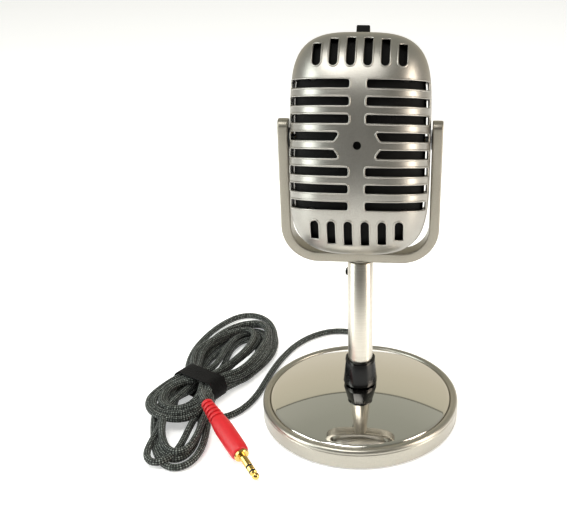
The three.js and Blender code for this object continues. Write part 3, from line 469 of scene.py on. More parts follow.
# %% The cord's route
CORD_HEIGHT = 1.8
LOOSE = [
    (0, 62.0, 5.3), (0.1, 66, 3.7), (-1.3, 71, 2.2), (-5.5, 76, CORD_HEIGHT),
    (-13.5, 79, CORD_HEIGHT), (-23.6, 77.8, CORD_HEIGHT), (-32.4, 71.8, CORD_HEIGHT),
    (-40.2, 62, CORD_HEIGHT), (-45.9, 48.5, CORD_HEIGHT), (-49.4, 35.8, CORD_HEIGHT),
    (-51.9, 22, CORD_HEIGHT), (-53.9, 9.4, CORD_HEIGHT), (-57, -1, CORD_HEIGHT),
    (-61.2, -8.8, CORD_HEIGHT), (-66, -13.6, CORD_HEIGHT), (-71.8, -15.4, CORD_HEIGHT),
]
TIE_CENTRE = Vector((-84.5, 9.5, 0))
TIE_TURN = 60            # degrees, the way the hank runs through the tie
TIE_ACROSS = Vector((math.sin(math.radians(TIE_TURN)), -math.cos(math.radians(TIE_TURN)), 0))
LAYER_STEP = 3.2

# Each lobe is drawn twice, as its outermost and its innermost strand, with the same number of points.
LONG_LOBE = (
    [(-91.5, 25), (-94, 42), (-89, 58), (-80, 73), (-69.5, 82.5), (-59.5, 79.5), (-54.2, 65), (-53.8, 49),
     (-57, 32), (-64, 18)],
    [(-85, 22), (-82.8, 33), (-80, 44), (-76.8, 54), (-71.8, 60.5), (-66.6, 59.5), (-64.6, 52), (-65.4, 43),
     (-68.5, 31.5), (-72.5, 19)],
)
LOOSE_LOBE = (
    [(-95.5, 25), (-98, 42), (-95.5, 62), (-88, 82), (-77, 94.8), (-66, 92.5), (-58.5, 81), (-54.6, 66),
     (-54.5, 48), (-58, 31), (-65, 17.5)],
) * 2
FRONT_LOBE = (
    [(-76, -8), (-74.2, -24), (-72.8, -40), (-74.5, -51.5), (-81, -57), (-88.5, -51.5), (-95, -41),
     (-99.5, -28), (-102, -14), (-99.5, -2)],
    [(-80.5, -9), (-80, -19), (-79.5, -30), (-80.8, -39), (-85.8, -44), (-91, -40), (-93, -32), (-94.5, -22),
     (-95.5, -12), (-94, -3)],
)
STRAY_LOBE = (
    [(-78.5, -9), (-80.5, -24), (-82, -38), (-85, -50), (-91, -54.5), (-96, -49), (-96, -39),
     (-96, -28), (-98, -14), (-97.5, -2)],
) * 2
FAN_LOBE = (
    [(-76.5, -6), (-77.5, -15.5), (-84, -22.5), (-95, -23.5), (-104, -18.5), (-106.5, -9), (-103, 2)],
    [(-80, -5), (-82, -11.5), (-86, -15.5), (-92.5, -16), (-97.5, -12.5), (-99, -6), (-97, 2)],
)


def through_tie(side, turn):
    lane, layer = (3, 1 - side) if turn == 9 else (turn % 3, turn // 3)
    squeeze = (1.4, 0.0, 1.8)[layer]
    place = TIE_CENTRE + TIE_ACROSS * side * (11.2 - squeeze - lane * 3.5)
    return (place.x, place.y, 3.2 + layer * LAYER_STEP)


def lobe_points(lobe, shares, height, turn, sway=0.9):
    """A strand that goes from one share to the other of the way between a lobe's two outlines."""
    points = []
    last = len(lobe[0]) - 1
    for i, (outer, inner) in enumerate(zip(*lobe)):
        share = shares[0] + (shares[1] - shares[0]) * i / last
        spot = Vector(outer).lerp(Vector(inner), share)
        rise = (1 - math.sin(math.pi * i / last)) * 1.2
        z = height + rise + 0.4 * math.sin(3.3 * turn + i)
        dx = sway * math.sin(2.1 * turn + 1.2 * i)
        dy = sway * math.cos(1.3 * turn + 1.5 * i)
        points.append((spot.x + dx, spot.y + dy, max(z, CORD_HEIGHT)))
    return points


# Each turn: where it starts and ends across the long lobe and its height there, then its lobe,
# its start and end across it and its height before the tie. A share over 1 crosses the lobe's eye.
TURNS = [
    (((0.0, 0.0), 1.9), (FRONT_LOBE, (0.0, 0.0), 2.0)),
    (((0.34, 0.34), 1.9), (FRONT_LOBE, (0.4, 0.4), 2.2)),
    (((0.68, 0.68), 2.0), (STRAY_LOBE, (0.0, 0.0), 3.6)),
    (((1.5, 0.1), 2.2), (FRONT_LOBE, (0.7, 0.5), 2.6)),
    (((0.0, 1.3), 5.0), (FRONT_LOBE, (0.0, 1.3), 5.6)),
    (((0.14, 0.14), 5.0), (FAN_LOBE, (0.0, 0.0), 6.4)),
    (((1.3, 0.0), 5.2), (FAN_LOBE, (0.36, 0.36), 7.4)),
    (((0.32, 0.32), 7.6), (FAN_LOBE, (0.7, 0.7), 7.8)),
    (((0.0, 1.4), 7.8), (FAN_LOBE, (1.0, 1.0), 7.4)),
]


def hank_points():
    points = [(-79, -15.6, 1.8), (-88, -14.2, 1.8), (-95.2, -7, 2.0), (-95.0, 4.5, 2.6)]
    for turn, (rear, front) in enumerate(TURNS):
        points.append(through_tie(-1, turn))
        points += lobe_points(LONG_LOBE, *rear, turn)
        points.append(through_tie(1, turn))
        points += lobe_points(*front, turn)
    points.append(through_tie(-1, len(TURNS)))
    points += lobe_points(LOOSE_LOBE, (0, 0), 2.2, 0, 0.3)
    points.append(through_tie(1, len(TURNS)))
    return points


PLUG_REAR = Vector((-74.0, -20.2, 14.8))
PLUG_NOSE = Vector((-42.3, -60.2, 2.1))
PLUG_ALONG = (PLUG_NOSE - PLUG_REAR).normalized()


def spline(points, step):
    """A centripetal curve through the points, cut into equal steps."""
    pts = [Vector(p) for p in points]
    pts = [pts[0] * 2 - pts[1], *pts, pts[-1] * 2 - pts[-2]]
    dense = []
    for a, b, c, d in zip(pts, pts[1:], pts[2:], pts[3:]):
        t0 = 0.0
        t1 = t0 + max((b - a).length, 1e-6) ** 0.5
        t2 = t1 + max((c - b).length, 1e-6) ** 0.5
        t3 = t2 + max((d - c).length, 1e-6) ** 0.5
        for i in range(24):
            t = t1 + (t2 - t1) * i / 24
            ab = a.lerp(b, (t - t0) / (t1 - t0))
            bc = b.lerp(c, (t - t1) / (t2 - t1))
            cd = c.lerp(d, (t - t2) / (t3 - t2))
            abc = ab.lerp(bc, (t - t0) / (t2 - t0))
            bcd = bc.lerp(cd, (t - t1) / (t3 - t1))
            dense.append(abc.lerp(bcd, (t - t1) / (t2 - t1)))
    dense.append(pts[-2])
    even, left = [dense[0]], step
    for a, b in zip(dense, dense[1:]):
        span = (b - a).length
        while span >= left and span > 0:
            a = a.lerp(b, left / span)
            even.append(a)
            span = (b - a).length
            left = step
        left -= span
    return even


def relaxed(points, passes):
    """Even out the bends and keep both ends where they are."""
    for _ in range(passes):
        inner = [
            (a + b * 2 + c) / 4 for a, b, c in zip(points, points[1:], points[2:])
        ]
        points = [points[0], *inner, points[-1]]
    return points


tail = [
    (-78.8, -1, 7.5), (-79.4, -8, 12), tuple(PLUG_REAR - PLUG_ALONG * 5),
    tuple(PLUG_REAR - PLUG_ALONG * 0.4),
]
route = relaxed(spline([*LOOSE, *hank_points(), *tail], 1.3), 26)
route = [Vector((p.x, p.y, max(p.z, CORD_HEIGHT))) for p in route]

# %% [markdown]
# The cord itself is a tube mesh with 14 sides, so that its braid can follow UVs that count real
# lengths along and round it. Each ring's axes are carried on to the next one without twisting.

# %% The cord


def tube(points, radius, sides):
    rows, uvs = [], []
    normal = Vector((0, 0, 1))
    travelled = 0.0
    for i, p in enumerate(points):
        ahead = points[min(i + 1, len(points) - 1)] - points[max(i - 1, 0)]
        ahead.normalize()
        normal = (normal - ahead * normal.dot(ahead)).normalized()
        side = ahead.cross(normal)
        if i:
            travelled += (p - points[i - 1]).length
        rows.append([
            tuple(p + (normal * math.cos(a) + side * math.sin(a)) * radius)
            for a in (2 * math.pi * j / sides for j in range(sides))
        ])
        uvs.append(travelled)
    verts, faces = skin(rows, caps=True)
    return verts, faces, uvs


def add_cord():
    sides = 14
    verts, faces, distances = tube(route, CORD_RADIUS, sides)
    cord = finish_piece("braided_cord", verts, faces, BRAID, "base", 60)
    layer = cord.data.uv_layers.new(name="cord")
    girth = 2 * math.pi * CORD_RADIUS * MM
    for face in cord.data.polygons:
        corners = [cord.data.loops[i].vertex_index for i in face.loop_indices]
        around = [c % sides for c in corners]
        seam = max(around) - min(around) > sides / 2
        for loop, corner in zip(face.loop_indices, corners):
            j = corner % sides
            if seam and j < sides / 2:
                j += sides
            layer.data[loop].uv = (distances[corner // sides] * MM, girth * j / sides)
    return outward(cord)


cord = add_cord()
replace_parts(cord, "cord_lead", "cord_hank")
print("cord vertices", len(cord.data.vertices))

# %% [markdown]
# The plug is a soft red grip moulded over a standard 3.5 mm contact pin. Its rear is cut into ribs
# so that the cord can bend there. The grip is one turned outline, made in its own frame with Z
# along the pin, and then laid where the frame has it.

# %% The plug
PLUG_TURN = Vector((0, 0, 1)).rotation_difference(PLUG_ALONG)
plug_place = Matrix.Translation(PLUG_REAR) @ PLUG_TURN.to_matrix().to_4x4()
PLUG_LENGTH = (PLUG_NOSE - PLUG_REAR).length
PIN_RADIUS = 1.75
GRIP_LENGTH = PLUG_LENGTH - 16


def grip_outline():
    outline = [(0, 0), (1.75, 0), (2.3, 0.15), (2.6, 0.6)]
    for rib in range(5):
        r = 2.95 + 0.22 * rib
        z = 0.7 + 2.5 * rib
        outline += [(r - 0.15, z + 0.1), (r, z + 0.4), (r, z + 1.2), (r - 0.15, z + 1.5)]
        outline += [(r - 0.75, z + 1.65), (r - 0.75, z + 2.25)]
    outline += [(3.75, 13.3), (4.0, 14.2), (4.3, 17), (4.5, 20), (4.5, GRIP_LENGTH - 7)]
    outline += [(4.4, GRIP_LENGTH - 3), (4.2, GRIP_LENGTH - 0.9), (3.95, GRIP_LENGTH - 0.25)]
    outline += [(3.6, GRIP_LENGTH), (0, GRIP_LENGTH)]
    return outline


def plug_piece(name, outline, material, node):
    piece = solid(name, turned(outline, 48, closed=False), material, "base", 40, plug_place)
    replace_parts(piece, node)
    return piece


flange = GRIP_LENGTH + 0.05
root = flange + 1.5
sleeve_end = root + 6.35
ring_start, ring_end = sleeve_end + 1.0, sleeve_end + 3.2
tip_start = ring_end + 1.0
R = PIN_RADIUS
plug_pieces = [
    plug_piece("plug_grip_moulding", grip_outline(), RED_PVC, "plug_grip"),
    plug_piece("plug_sleeve_contact", [
        (0, flange), (3.3, flange), (3.5, flange + 0.2), (3.5, root - 0.3), (3.2, root), (R + 0.1, root),
        (R, root + 0.1), (R, sleeve_end - 0.1), (R - 0.1, sleeve_end), (0, sleeve_end),
    ], GOLD, "plug_sleeve"),
    plug_piece("plug_insulator_rear", [
        (0, sleeve_end), (R - 0.12, sleeve_end), (R - 0.12, ring_start), (0, ring_start),
    ], NYLON, "plug_insulator_1"),
    plug_piece("plug_ring", [
        (0, ring_start), (R - 0.1, ring_start), (R, ring_start + 0.1), (R, ring_end - 0.1),
        (R - 0.1, ring_end), (0, ring_end),
    ], GOLD, "plug_ring_contact"),
    plug_piece("plug_insulator_front", [
        (0, ring_end), (R - 0.12, ring_end), (R - 0.12, tip_start), (0, tip_start),
    ], NYLON, "plug_insulator_2"),
    plug_piece("plug_tip_contact", [
        (0, tip_start), (R - 0.1, tip_start), (R, tip_start + 0.1), (R, tip_start + 0.4),
        (1.2, tip_start + 1.0), (1.2, tip_start + 1.25), (1.7, tip_start + 1.9),
        (1.55, PLUG_LENGTH - 1.0), (0.9, PLUG_LENGTH - 0.2), (0.3, PLUG_LENGTH), (0, PLUG_LENGTH),
    ], GOLD, "plug_tip"),
]
print("plug pieces", len(plug_pieces))

# %% [markdown]
# The tie is a strip of hook-and-loop tape wrapped round the waist of the hank. It is a thin band
# swept round a rounded rectangle, with its edges a little wavy.

# %% The tie
TIE_HALF_ACROSS = 14.2
TIE_BOTTOM, TIE_TOP = 0.2, 12.8
TIE_CORNER = 6.0
TIE_HALF_WIDTH = 5.0
TIE_THICKNESS = 1.25


def tie_band():
    middle, half_height = (TIE_TOP + TIE_BOTTOM) / 2, (TIE_TOP - TIE_BOTTOM) / 2
    loop = []
    for cx, cz, start in ((1, 1, 0), (-1, 1, 90), (-1, -1, 180), (1, -1, 270)):
        x, z = cx * (TIE_HALF_ACROSS - TIE_CORNER), middle + cz * (half_height - TIE_CORNER)
        loop += arc(x, z, TIE_CORNER, start, start + 90, 7)
    rows = []
    for i, (x, z) in enumerate(loop):
        out = Vector((x, z - middle)).normalized()
        wave = 0.5 * math.sin(i * 1.1) + 0.3 * math.sin(i * 2.7)
        near, far = wave - TIE_HALF_WIDTH, wave * 0.6 + TIE_HALF_WIDTH
        rows.append([
            (x - out.x * depth, -place, z - out.y * depth)
            for depth, place in ((0, near), (0, far), (TIE_THICKNESS, far - 0.2), (TIE_THICKNESS, near + 0.2))
        ])
    return skin(rows, wrap_rows=True)


def add_tie():
    place = Matrix.Translation(TIE_CENTRE) @ Matrix.Rotation(math.radians(TIE_TURN - 90), 4, "Z")
    tie = solid("hook_and_loop_tie", tie_band(), HOOK_TAPE, "base", 50, place)
    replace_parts(tie, "hank_tie")
    return tie


tie = add_tie()
print("tie points", len(tie.data.vertices))

# %% [markdown]
# The base has three visible pieces. The outer band is rolled steel with a bead round its top edge.
# Inside it sits the pressed dome, plated to a mirror. A shadow gap between the two is what makes
# them read as separate pieces, so both edges are rounded into it.

# %% Base ring and dome
BASE_RADIUS = 49
BASE_HEIGHT = 10.5
PLATE_RADIUS = 45.2
PLATE_RISE = 7.2
PLATE_EDGE = 10.0
DOME_BORE = 4.85
ROUND_SEGMENTS = 160


def plate_height(r):
    return PLATE_EDGE + PLATE_RISE * (1 - (r / PLATE_RADIUS) ** 2)


def add_base_ring():
    bead = 1.9
    outline = [(47.6, 0.9), (48.5, 0.9), (48.85, 1.05), (49.0, 1.4), (49.0, 8.0)]
    outline += [(48.85, 8.25), (49.0, 8.5)]
    outline += arc(BASE_RADIUS - bead, BASE_HEIGHT - bead, bead, 0, 165, 12)
    outline += [(45.5, 8.2), (47.5, 7.3), (47.5, 1.2)]
    ring = solid("base_band", turned(outline, ROUND_SEGMENTS), RING_PAINT, "base", 28)
    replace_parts(ring, "base_ring")
    return ring


def add_dome():
    top = [(r, plate_height(r)) for r in [DOME_BORE + (44.6 - DOME_BORE) * i / 30 for i in range(31)]]
    edge = [(44.95, 9.85), (45.15, 9.5), (45.15, 8.9)]
    under = [(r, plate_height(r) - 1.2) for r in (44.8, 36, 26, 16, DOME_BORE)]
    dome = solid("mirror_dome", turned([*top, *edge, *under], ROUND_SEGMENTS), CHROME, "base", 40)
    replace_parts(dome, "base_plate")
    return dome


print("base band faces", len(add_base_ring().data.polygons), "dome faces", len(add_dome().data.polygons))

# %% [markdown]
# The collar is the black nut that grips the stem. It has eight soft facets that widen towards the
# dome, and a thin round lip on top. Each ring of its mesh is an octagon whose corners are eased,
# which is what a worn steel mould gives.

# %% Collar nut
COLLAR_BOTTOM, COLLAR_TOP = 17.5, 31.3
COLLAR_BORE = 6.3


def eased_octagon(circumradius, z, sides=8, corner_steps=4, ease=0.16):
    corners = []
    for k in range(sides):
        middle = 2 * math.pi * (k + 0.5) / sides
        for i in range(corner_steps + 1):
            angle = middle + (i / corner_steps - 0.5) * 2 * ease
            flat = circumradius * math.cos(math.pi / sides) / math.cos(ease - math.pi / sides)
            swell = 0.006 * (1 - abs(i / corner_steps - 0.5) * 2)
            radius = flat * (1 + swell)
            corners.append((radius * math.cos(angle), radius * math.sin(angle), z))
    return corners


def add_collar():
    bottom, top = COLLAR_BOTTOM, COLLAR_TOP
    rows = [eased_octagon(r, z) for r, z in (
        (7.9, bottom), (8.3, bottom + 0.1), (8.85, bottom + 0.8), (9.0, bottom + 1.5), (8.85, bottom + 2.2),
        (7.75, top - 1.9), (7.62, top - 1.65), (7.6, top - 1.45), (7.85, top - 1.25), (7.9, top - 1.0),
        (7.9, top - 0.35), (7.75, top - 0.08), (7.5, top),
    )]
    for z in (top, bottom):
        rows.append([
            (COLLAR_BORE * math.cos(math.atan2(y, x)), COLLAR_BORE * math.sin(math.atan2(y, x)), z)
            for x, y, _ in rows[0]
        ])
    collar = solid("collar_moulding", skin(rows, wrap_rows=True), GLOSS_ABS, "collar", 24)
    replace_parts(collar, "collar_nut")
    return collar


print("collar faces", len(add_collar().data.polygons))

# %% [markdown]
# The stem is a plain drawn tube, 12 mm across with a 1 mm wall. Both ends are slightly broken edges.

# %% Stem tube
STEM_RADIUS, STEM_BORE = 6.0, 5.0
STEM_BOTTOM, STEM_END = 18.5, 83.95


def add_stem():
    outline = [
        (STEM_BORE, STEM_BOTTOM), (STEM_RADIUS - 0.2, STEM_BOTTOM), (STEM_RADIUS, STEM_BOTTOM + 0.2),
        (STEM_RADIUS, STEM_END - 0.25), (STEM_RADIUS - 0.2, STEM_END), (STEM_BORE, STEM_END),
    ]
    stem = solid("stem_pipe", turned(outline, 96), NICKEL, "stem", 40)
    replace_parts(stem, "stem_tube")
    return stem


print("stem faces", len(add_stem().data.polygons))

# %% [markdown]
# The yoke is a zinc casting: a flat bar bent into a U, thicker at the bottom than in the arms. Its
# section is a rounded rectangle, which is carried along the U. Near the top of each arm the section
# narrows along a quarter circle, so the arms end in a soft round-over.

# %% Yoke
YOKE_HALF = 36.2
ARM = 4.6
BAR = 4.9
DEPTH = 8.4
YOKE_FLOOR = 84.3
YOKE_TOP = 150.7
OUTER_CORNER = 17
TOP_ROUND = 3.0
PIVOT_Z = 142.5
PIVOT_HOLE = 1.8
WASHER_RADIUS = 3.35
WASHER_SEAT = 34.4
SPIGOT_RADIUS, SPIGOT_END = 4.7, 70.3
MOST_EASE = 0.75


def yoke_section(half_across, half_depth, ease, steps=4):
    points = []
    for cx, cy, start in ((1, 1, 0), (-1, 1, 90), (-1, -1, 180), (1, -1, 270)):
        for i in range(steps + 1):
            a = math.radians(start + 90 * i / steps)
            points.append((
                cx * (half_across - ease) + ease * math.cos(a),
                cy * (half_depth - ease) + ease * math.sin(a),
            ))
    return points


def yoke_stations():
    """Outer point, inner point and half depth of each section, from the right arm's top to the left's."""
    stations = []
    tops = [i / 7 for i in range(8)]
    inner_corner = OUTER_CORNER - ARM
    floor = YOKE_FLOOR + BAR
    for share in tops:
        angle = math.radians(90 * (1 - share))
        z = YOKE_TOP - TOP_ROUND + TOP_ROUND * math.sin(angle)
        half = DEPTH / 2 - TOP_ROUND + TOP_ROUND * math.cos(angle)
        stations.append(((YOKE_HALF, z), (YOKE_HALF - ARM, z), max(half, 0.9)))
    for i in range(1, 7):
        z = YOKE_TOP - TOP_ROUND + (YOKE_FLOOR + OUTER_CORNER - YOKE_TOP + TOP_ROUND) * i / 6
        stations.append(((YOKE_HALF, z), (YOKE_HALF - ARM, z), DEPTH / 2))
    for i in range(1, 13):
        a = math.radians(-90 * i / 12)
        outer = (
            YOKE_HALF - OUTER_CORNER + OUTER_CORNER * math.cos(a),
            YOKE_FLOOR + OUTER_CORNER + OUTER_CORNER * math.sin(a),
        )
        inner = (
            YOKE_HALF - ARM - inner_corner + inner_corner * math.cos(a),
            floor + inner_corner + inner_corner * math.sin(a),
        )
        stations.append((outer, inner, DEPTH / 2))
    for x in (12, 6):
        stations.append(((x, YOKE_FLOOR), (x, floor), DEPTH / 2))
    left = [((-o[0], o[1]), (-i[0], i[1]), h) for o, i, h in reversed(stations)]
    return [*stations, ((0, YOKE_FLOOR), (0, floor), DEPTH / 2), *left]


def add_yoke():
    rows = []
    for outer, inner, half_depth in yoke_stations():
        outer, inner = Vector(outer), Vector(inner)
        centre = (outer + inner) / 2
        across = (outer - inner).normalized()
        half = (outer - inner).length / 2
        ease = min(MOST_EASE, half_depth * 0.8)
        rows.append([
            (centre.x + across.x * u, v, centre.y + across.y * u)
            for u, v in yoke_section(half, half_depth, ease)
        ])
    bar = skin(rows, caps=True)
    spigot = turned([
        (0, SPIGOT_END), (SPIGOT_RADIUS - 0.3, SPIGOT_END), (SPIGOT_RADIUS, SPIGOT_END + 0.3),
        (SPIGOT_RADIUS, 85), (0, 85),
    ], 48, closed=False)
    yoke = solid("yoke_casting", joined(bar, spigot), YOKE_PAINT, "stem", 40)
    cutters = []
    for side in (-1, 1):
        turn = Matrix.Translation((0, 0, PIVOT_Z)) @ Matrix.Rotation(side * math.pi / 2, 4, "Y")
        for radius, start, end in ((WASHER_RADIUS, WASHER_SEAT, 38), (PIVOT_HOLE, 30, 38)):
            outline = [(0, start), (radius, start), (radius, end), (0, end)]
            cutters.append(laid(turned(outline, 48, closed=False), turn))
    cut_away(yoke, cutters)
    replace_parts(yoke, "yoke")
    return yoke


def cut_away(piece, cutters):
    """Take the cutters' space out of the piece, with Blender's exact boolean."""
    tools = [solid("cutter", cutter, piece.data.materials[0], None) for cutter in cutters]
    group = bpy.data.collections.new("cutters")
    for tool in tools:
        group.objects.link(tool)
    change = piece.modifiers.new("cut", "BOOLEAN")
    change.operand_type = "COLLECTION"
    change.collection = group
    change.operation = "DIFFERENCE"
    change.solver = "EXACT"
    graph = bpy.context.evaluated_depsgraph_get()
    result = bpy.data.meshes.new_from_object(piece.evaluated_get(graph))
    piece.modifiers.remove(change)
    piece.data = result
    for tool in tools:
        bpy.data.objects.remove(tool)
    bpy.data.collections.remove(group)
    piece.data.shade_smooth()
    piece.data.set_sharp_from_angle(angle=math.radians(32))
    return piece


yoke = add_yoke()
print("yoke faces", len(yoke.data.polygons))

# %% [markdown]
# The head is two pressed-looking shells. Their outline from the front is a superellipse with one
# power across, for a round crown, and a higher one upwards, for straight sides. Their depth falls
# off along another one, so the whole form is a formula. That is useful twice: the mesh can be as
# fine as it needs to be, and after the slots are cut the exact normals can be put back, so that no
# shading fault shows round the openings.

# %% The head's form
HEAD_A = 31.0
HEAD_B = 48.4
HEAD_D = 22.8
HEAD_WALL = 1.6
SEAM = 0.15
CROWN_ARCH = 3.2
SIDE_STRAIGHTNESS = 5.0
CROWN_POWER = 2.6
EDGE_POWER = 2.1
HEAD_TILT = math.radians(15.85)
HEAD_BELOW = 3.0
HEAD_CENTRE = Vector((0, -HEAD_BELOW * math.sin(HEAD_TILT), PIVOT_Z - HEAD_BELOW * math.cos(HEAD_TILT)))
head_place = Matrix.Translation(HEAD_CENTRE) @ Matrix.Rotation(-HEAD_TILT, 4, "X")


def head_share(x, z, inset=0.0):
    """The size of the outline through a point, as a share of the whole one, by Newton's steps."""
    u = abs(x) / (HEAD_A - inset)
    v = abs(z) / (HEAD_B - inset)
    if max(u, v) == 0:
        return 0.0
    grow = 1 / max(u, v)
    for _ in range(8):
        across, up = (u * grow) ** CROWN_ARCH, (v * grow) ** SIDE_STRAIGHTNESS
        grow -= (across + up - 1) * grow / (CROWN_ARCH * across + SIDE_STRAIGHTNESS * up)
    return 1 / grow


def head_y(x, z, sign, inset=0.0):
    share = min(head_share(x, z, inset), 1.0)
    return sign * ((HEAD_D - inset) * (1 - share ** CROWN_POWER) ** (1 / EDGE_POWER) + SEAM)


def head_normal(x, y, z):
    """The outward direction of the level surface through a point of the shell."""
    depth = max(abs(y) - SEAM, 0.0)
    share = max(head_share(x, z), 1e-4)
    lean = CROWN_POWER * share ** (CROWN_POWER - 1)
    u, v = abs(x) / HEAD_A / share, abs(z) / HEAD_B / share
    slope = CROWN_ARCH * u ** CROWN_ARCH + SIDE_STRAIGHTNESS * v ** SIDE_STRAIGHTNESS
    nx = lean * CROWN_ARCH * u ** (CROWN_ARCH - 1) / slope / HEAD_A if slope else 0.0
    nz = lean * SIDE_STRAIGHTNESS * v ** (SIDE_STRAIGHTNESS - 1) / slope / HEAD_B if slope else 0.0
    ny = EDGE_POWER * (depth / HEAD_D) ** (EDGE_POWER - 1) / HEAD_D
    normal = Vector((math.copysign(nx, x), math.copysign(ny, y), math.copysign(nz, z)))
    return normal.normalized() if normal.length > 0 else Vector((0, math.copysign(1, y), 0))


def half_rows(sign, inset, turns, rings):
    rows = []
    for i in range(1, rings + 1):
        share = math.sin(math.pi / 2 * i / rings) ** 0.9
        y = sign * ((HEAD_D - inset) * max(0.0, 1 - share ** CROWN_POWER) ** (1 / EDGE_POWER) + SEAM)
        row = []
        for j in range(turns):
            angle = 2 * math.pi * j / turns
            c, s = math.cos(angle), math.sin(angle)
            reach = share / head_share(c, s, inset)
            row.append((c * reach, y, s * reach))
        rows.append(row)
    return rows


def bowl(sign, inset, thickness, turns, rings):
    outer = half_rows(sign, inset, turns, rings)
    inner = half_rows(sign, inset + thickness, turns, rings)
    verts, faces = skin([*outer, *reversed(inner)])
    poles = [(0, sign * (HEAD_D - inset + SEAM), 0), (0, sign * (HEAD_D - inset - thickness + SEAM), 0)]
    start = len(verts)
    verts += poles
    last = (2 * rings - 1) * turns
    for j in range(turns):
        m = (j + 1) % turns
        faces.append((start, m, j))
        faces.append((start + 1, last + j, last + m))
    return verts, faces


# %% [markdown]
# The grille is eight rows of level slots in two columns, six upright slots over the crown and six
# below the chin. Each outline is drawn flat with eased corners and pushed through the shell. The
# same outline, laid on the curved surface, then carries a thin rounded lip: on the real casting
# that lip catches the light and draws every slot with a bright line.

# %% Slot outlines
SLOT_PITCH = 7.26
SLOT_HALF = 1.85
ROWS = 8
UPRIGHTS = 6
SIDE_LAND = 1.2
CROWN_FOOT, CROWN_LAND = 32.8, 3.4
CHIN_TOP, CHIN_LAND = 32.0, 5.4
SPINE_HALF = 3.5         # half the plain strip between the two columns
PORT_NEAR, PORT_FAR = 9.7, 7.1


def outline_height(x):
    return HEAD_B * (1 - abs(x / HEAD_A) ** CROWN_ARCH) ** (1 / SIDE_STRAIGHTNESS)


def outline_width(z):
    return HEAD_A * (1 - abs(z / HEAD_B) ** SIDE_STRAIGHTNESS) ** (1 / CROWN_ARCH)


def eased(corners, radii, steps=5):
    """A closed outline whose corners are rounded by the given radii."""
    outline = []
    count = len(corners)
    for i in range(count):
        here = Vector(corners[i])
        before = (Vector(corners[i - 1]) - here).normalized()
        after = (Vector(corners[(i + 1) % count]) - here).normalized()
        half_angle = before.angle(after) / 2
        back = radii[i] / math.tan(half_angle)
        first, last = here + before * back, here + after * back
        for k in range(steps + 1):
            t = k / steps
            outline.append(first.lerp(here, t).lerp(here.lerp(last, t), t))
    return outline


def subdivided(outline, step=1.6):
    points = []
    for a, b in zip(outline, [*outline[1:], outline[0]]):
        pieces = max(1, round((b - a).length / step))
        points += [a.lerp(b, k / pieces) for k in range(pieces)]
    return points


def row_slot(side, z, inner_top, inner_bottom):
    outer = outline_width(abs(z) + SLOT_HALF) - SIDE_LAND
    corners = [
        (side * outer, z - SLOT_HALF), (side * outer, z + SLOT_HALF),
        (side * inner_top, z + SLOT_HALF), (side * inner_bottom, z - SLOT_HALF),
    ]
    return eased(corners, [0.5, 0.5, 1.2, 1.2])


def upright_slot(x, start, end):
    up = math.copysign(1, end - start)
    middle = start + up * SLOT_HALF
    outline = [Vector((x + SLOT_HALF, end)), Vector((x - SLOT_HALF, end))]
    for k in range(13):
        a = math.pi * k / 12
        outline.append(Vector((x - SLOT_HALF * math.cos(a), middle - up * SLOT_HALF * math.sin(a))))
    return outline


def grille_slots(front):
    slots = []
    for row in range(ROWS):
        z = ((ROWS - 1) / 2 - row) * SLOT_PITCH
        beside_port = front and abs(z) < SLOT_PITCH
        near, far = (PORT_NEAR, PORT_FAR) if beside_port else (SPINE_HALF, SPINE_HALF)
        top, bottom = (far, near) if z > 0 else (near, far)
        slots += [row_slot(-1, z, top, bottom), row_slot(1, z, top, bottom)]
    for i in range(UPRIGHTS):
        x = (i - (UPRIGHTS - 1) / 2) * SLOT_PITCH
        height = outline_height(abs(x) + SLOT_HALF)
        if front:
            slots.append(upright_slot(x, CROWN_FOOT, height - CROWN_LAND))
        slots.append(upright_slot(x, -CHIN_TOP, -height + CHIN_LAND))
    return slots


def prism_along_y(outline, low, high):
    rows = [[(p.x, low, p.y) for p in outline], [(p.x, high, p.y) for p in outline]]
    return skin(rows, caps=True)


def rod_along(axis, radius, start, end, x=0.0, z=0.0, segments=24):
    verts, faces = turned([(0, start), (radius, start), (radius, end), (0, end)], segments, closed=False)
    if axis == "Y":
        verts = [(x + px, pz, z + py) for px, py, pz in verts]
    else:
        verts = [(pz, px, z + py) for px, py, pz in verts]
    return verts, faces


print("front slots", len(grille_slots(True)), "rear slots", len(grille_slots(False)))

# %% [markdown]
# A lip is a round wire, 0.84 mm wide, half sunk into the surface along the slot's edge. Its section
# leans with the surface normal at every point. The lips are separate closed loops, joined into one
# piece per shell, and wear the same paint.

# %% Slot lips
LIP_WIDTH = 0.42         # half its width
LIP_HEIGHT = 0.34
LIP_OUTSIDE = 0.3
RIM_SHARE = 0.996        # a lip keeps off the very rim, where the formula has no slope


def lip_loop(outline, sign):
    points = subdivided(outline)
    rows = []
    count = len(points)
    area = sum(a.x * b.y - b.x * a.y for a, b in zip(points, [*points[1:], points[0]]))
    for i, p in enumerate(points):
        run = (points[(i + 1) % count] - points[i - 1]).normalized()
        out = Vector((run.y, -run.x)) * math.copysign(1, area)
        place = p + out * LIP_OUTSIDE
        share = head_share(place.x, place.y)
        if share > RIM_SHARE:
            place *= RIM_SHARE / share
        y = head_y(place.x, place.y, sign)
        base = Vector((place.x, y, place.y))
        normal = head_normal(base.x, base.y, base.z)
        along = Vector((run.x, 0, run.y))
        along = (along - normal * along.dot(normal)).normalized()
        side = normal.cross(along)
        rows.append([
            tuple(base + side * LIP_WIDTH * math.cos(a) + normal * LIP_HEIGHT * math.sin(a))
            for a in (2 * math.pi * k / 8 for k in range(8))
        ])
    return skin(rows, wrap_rows=True)


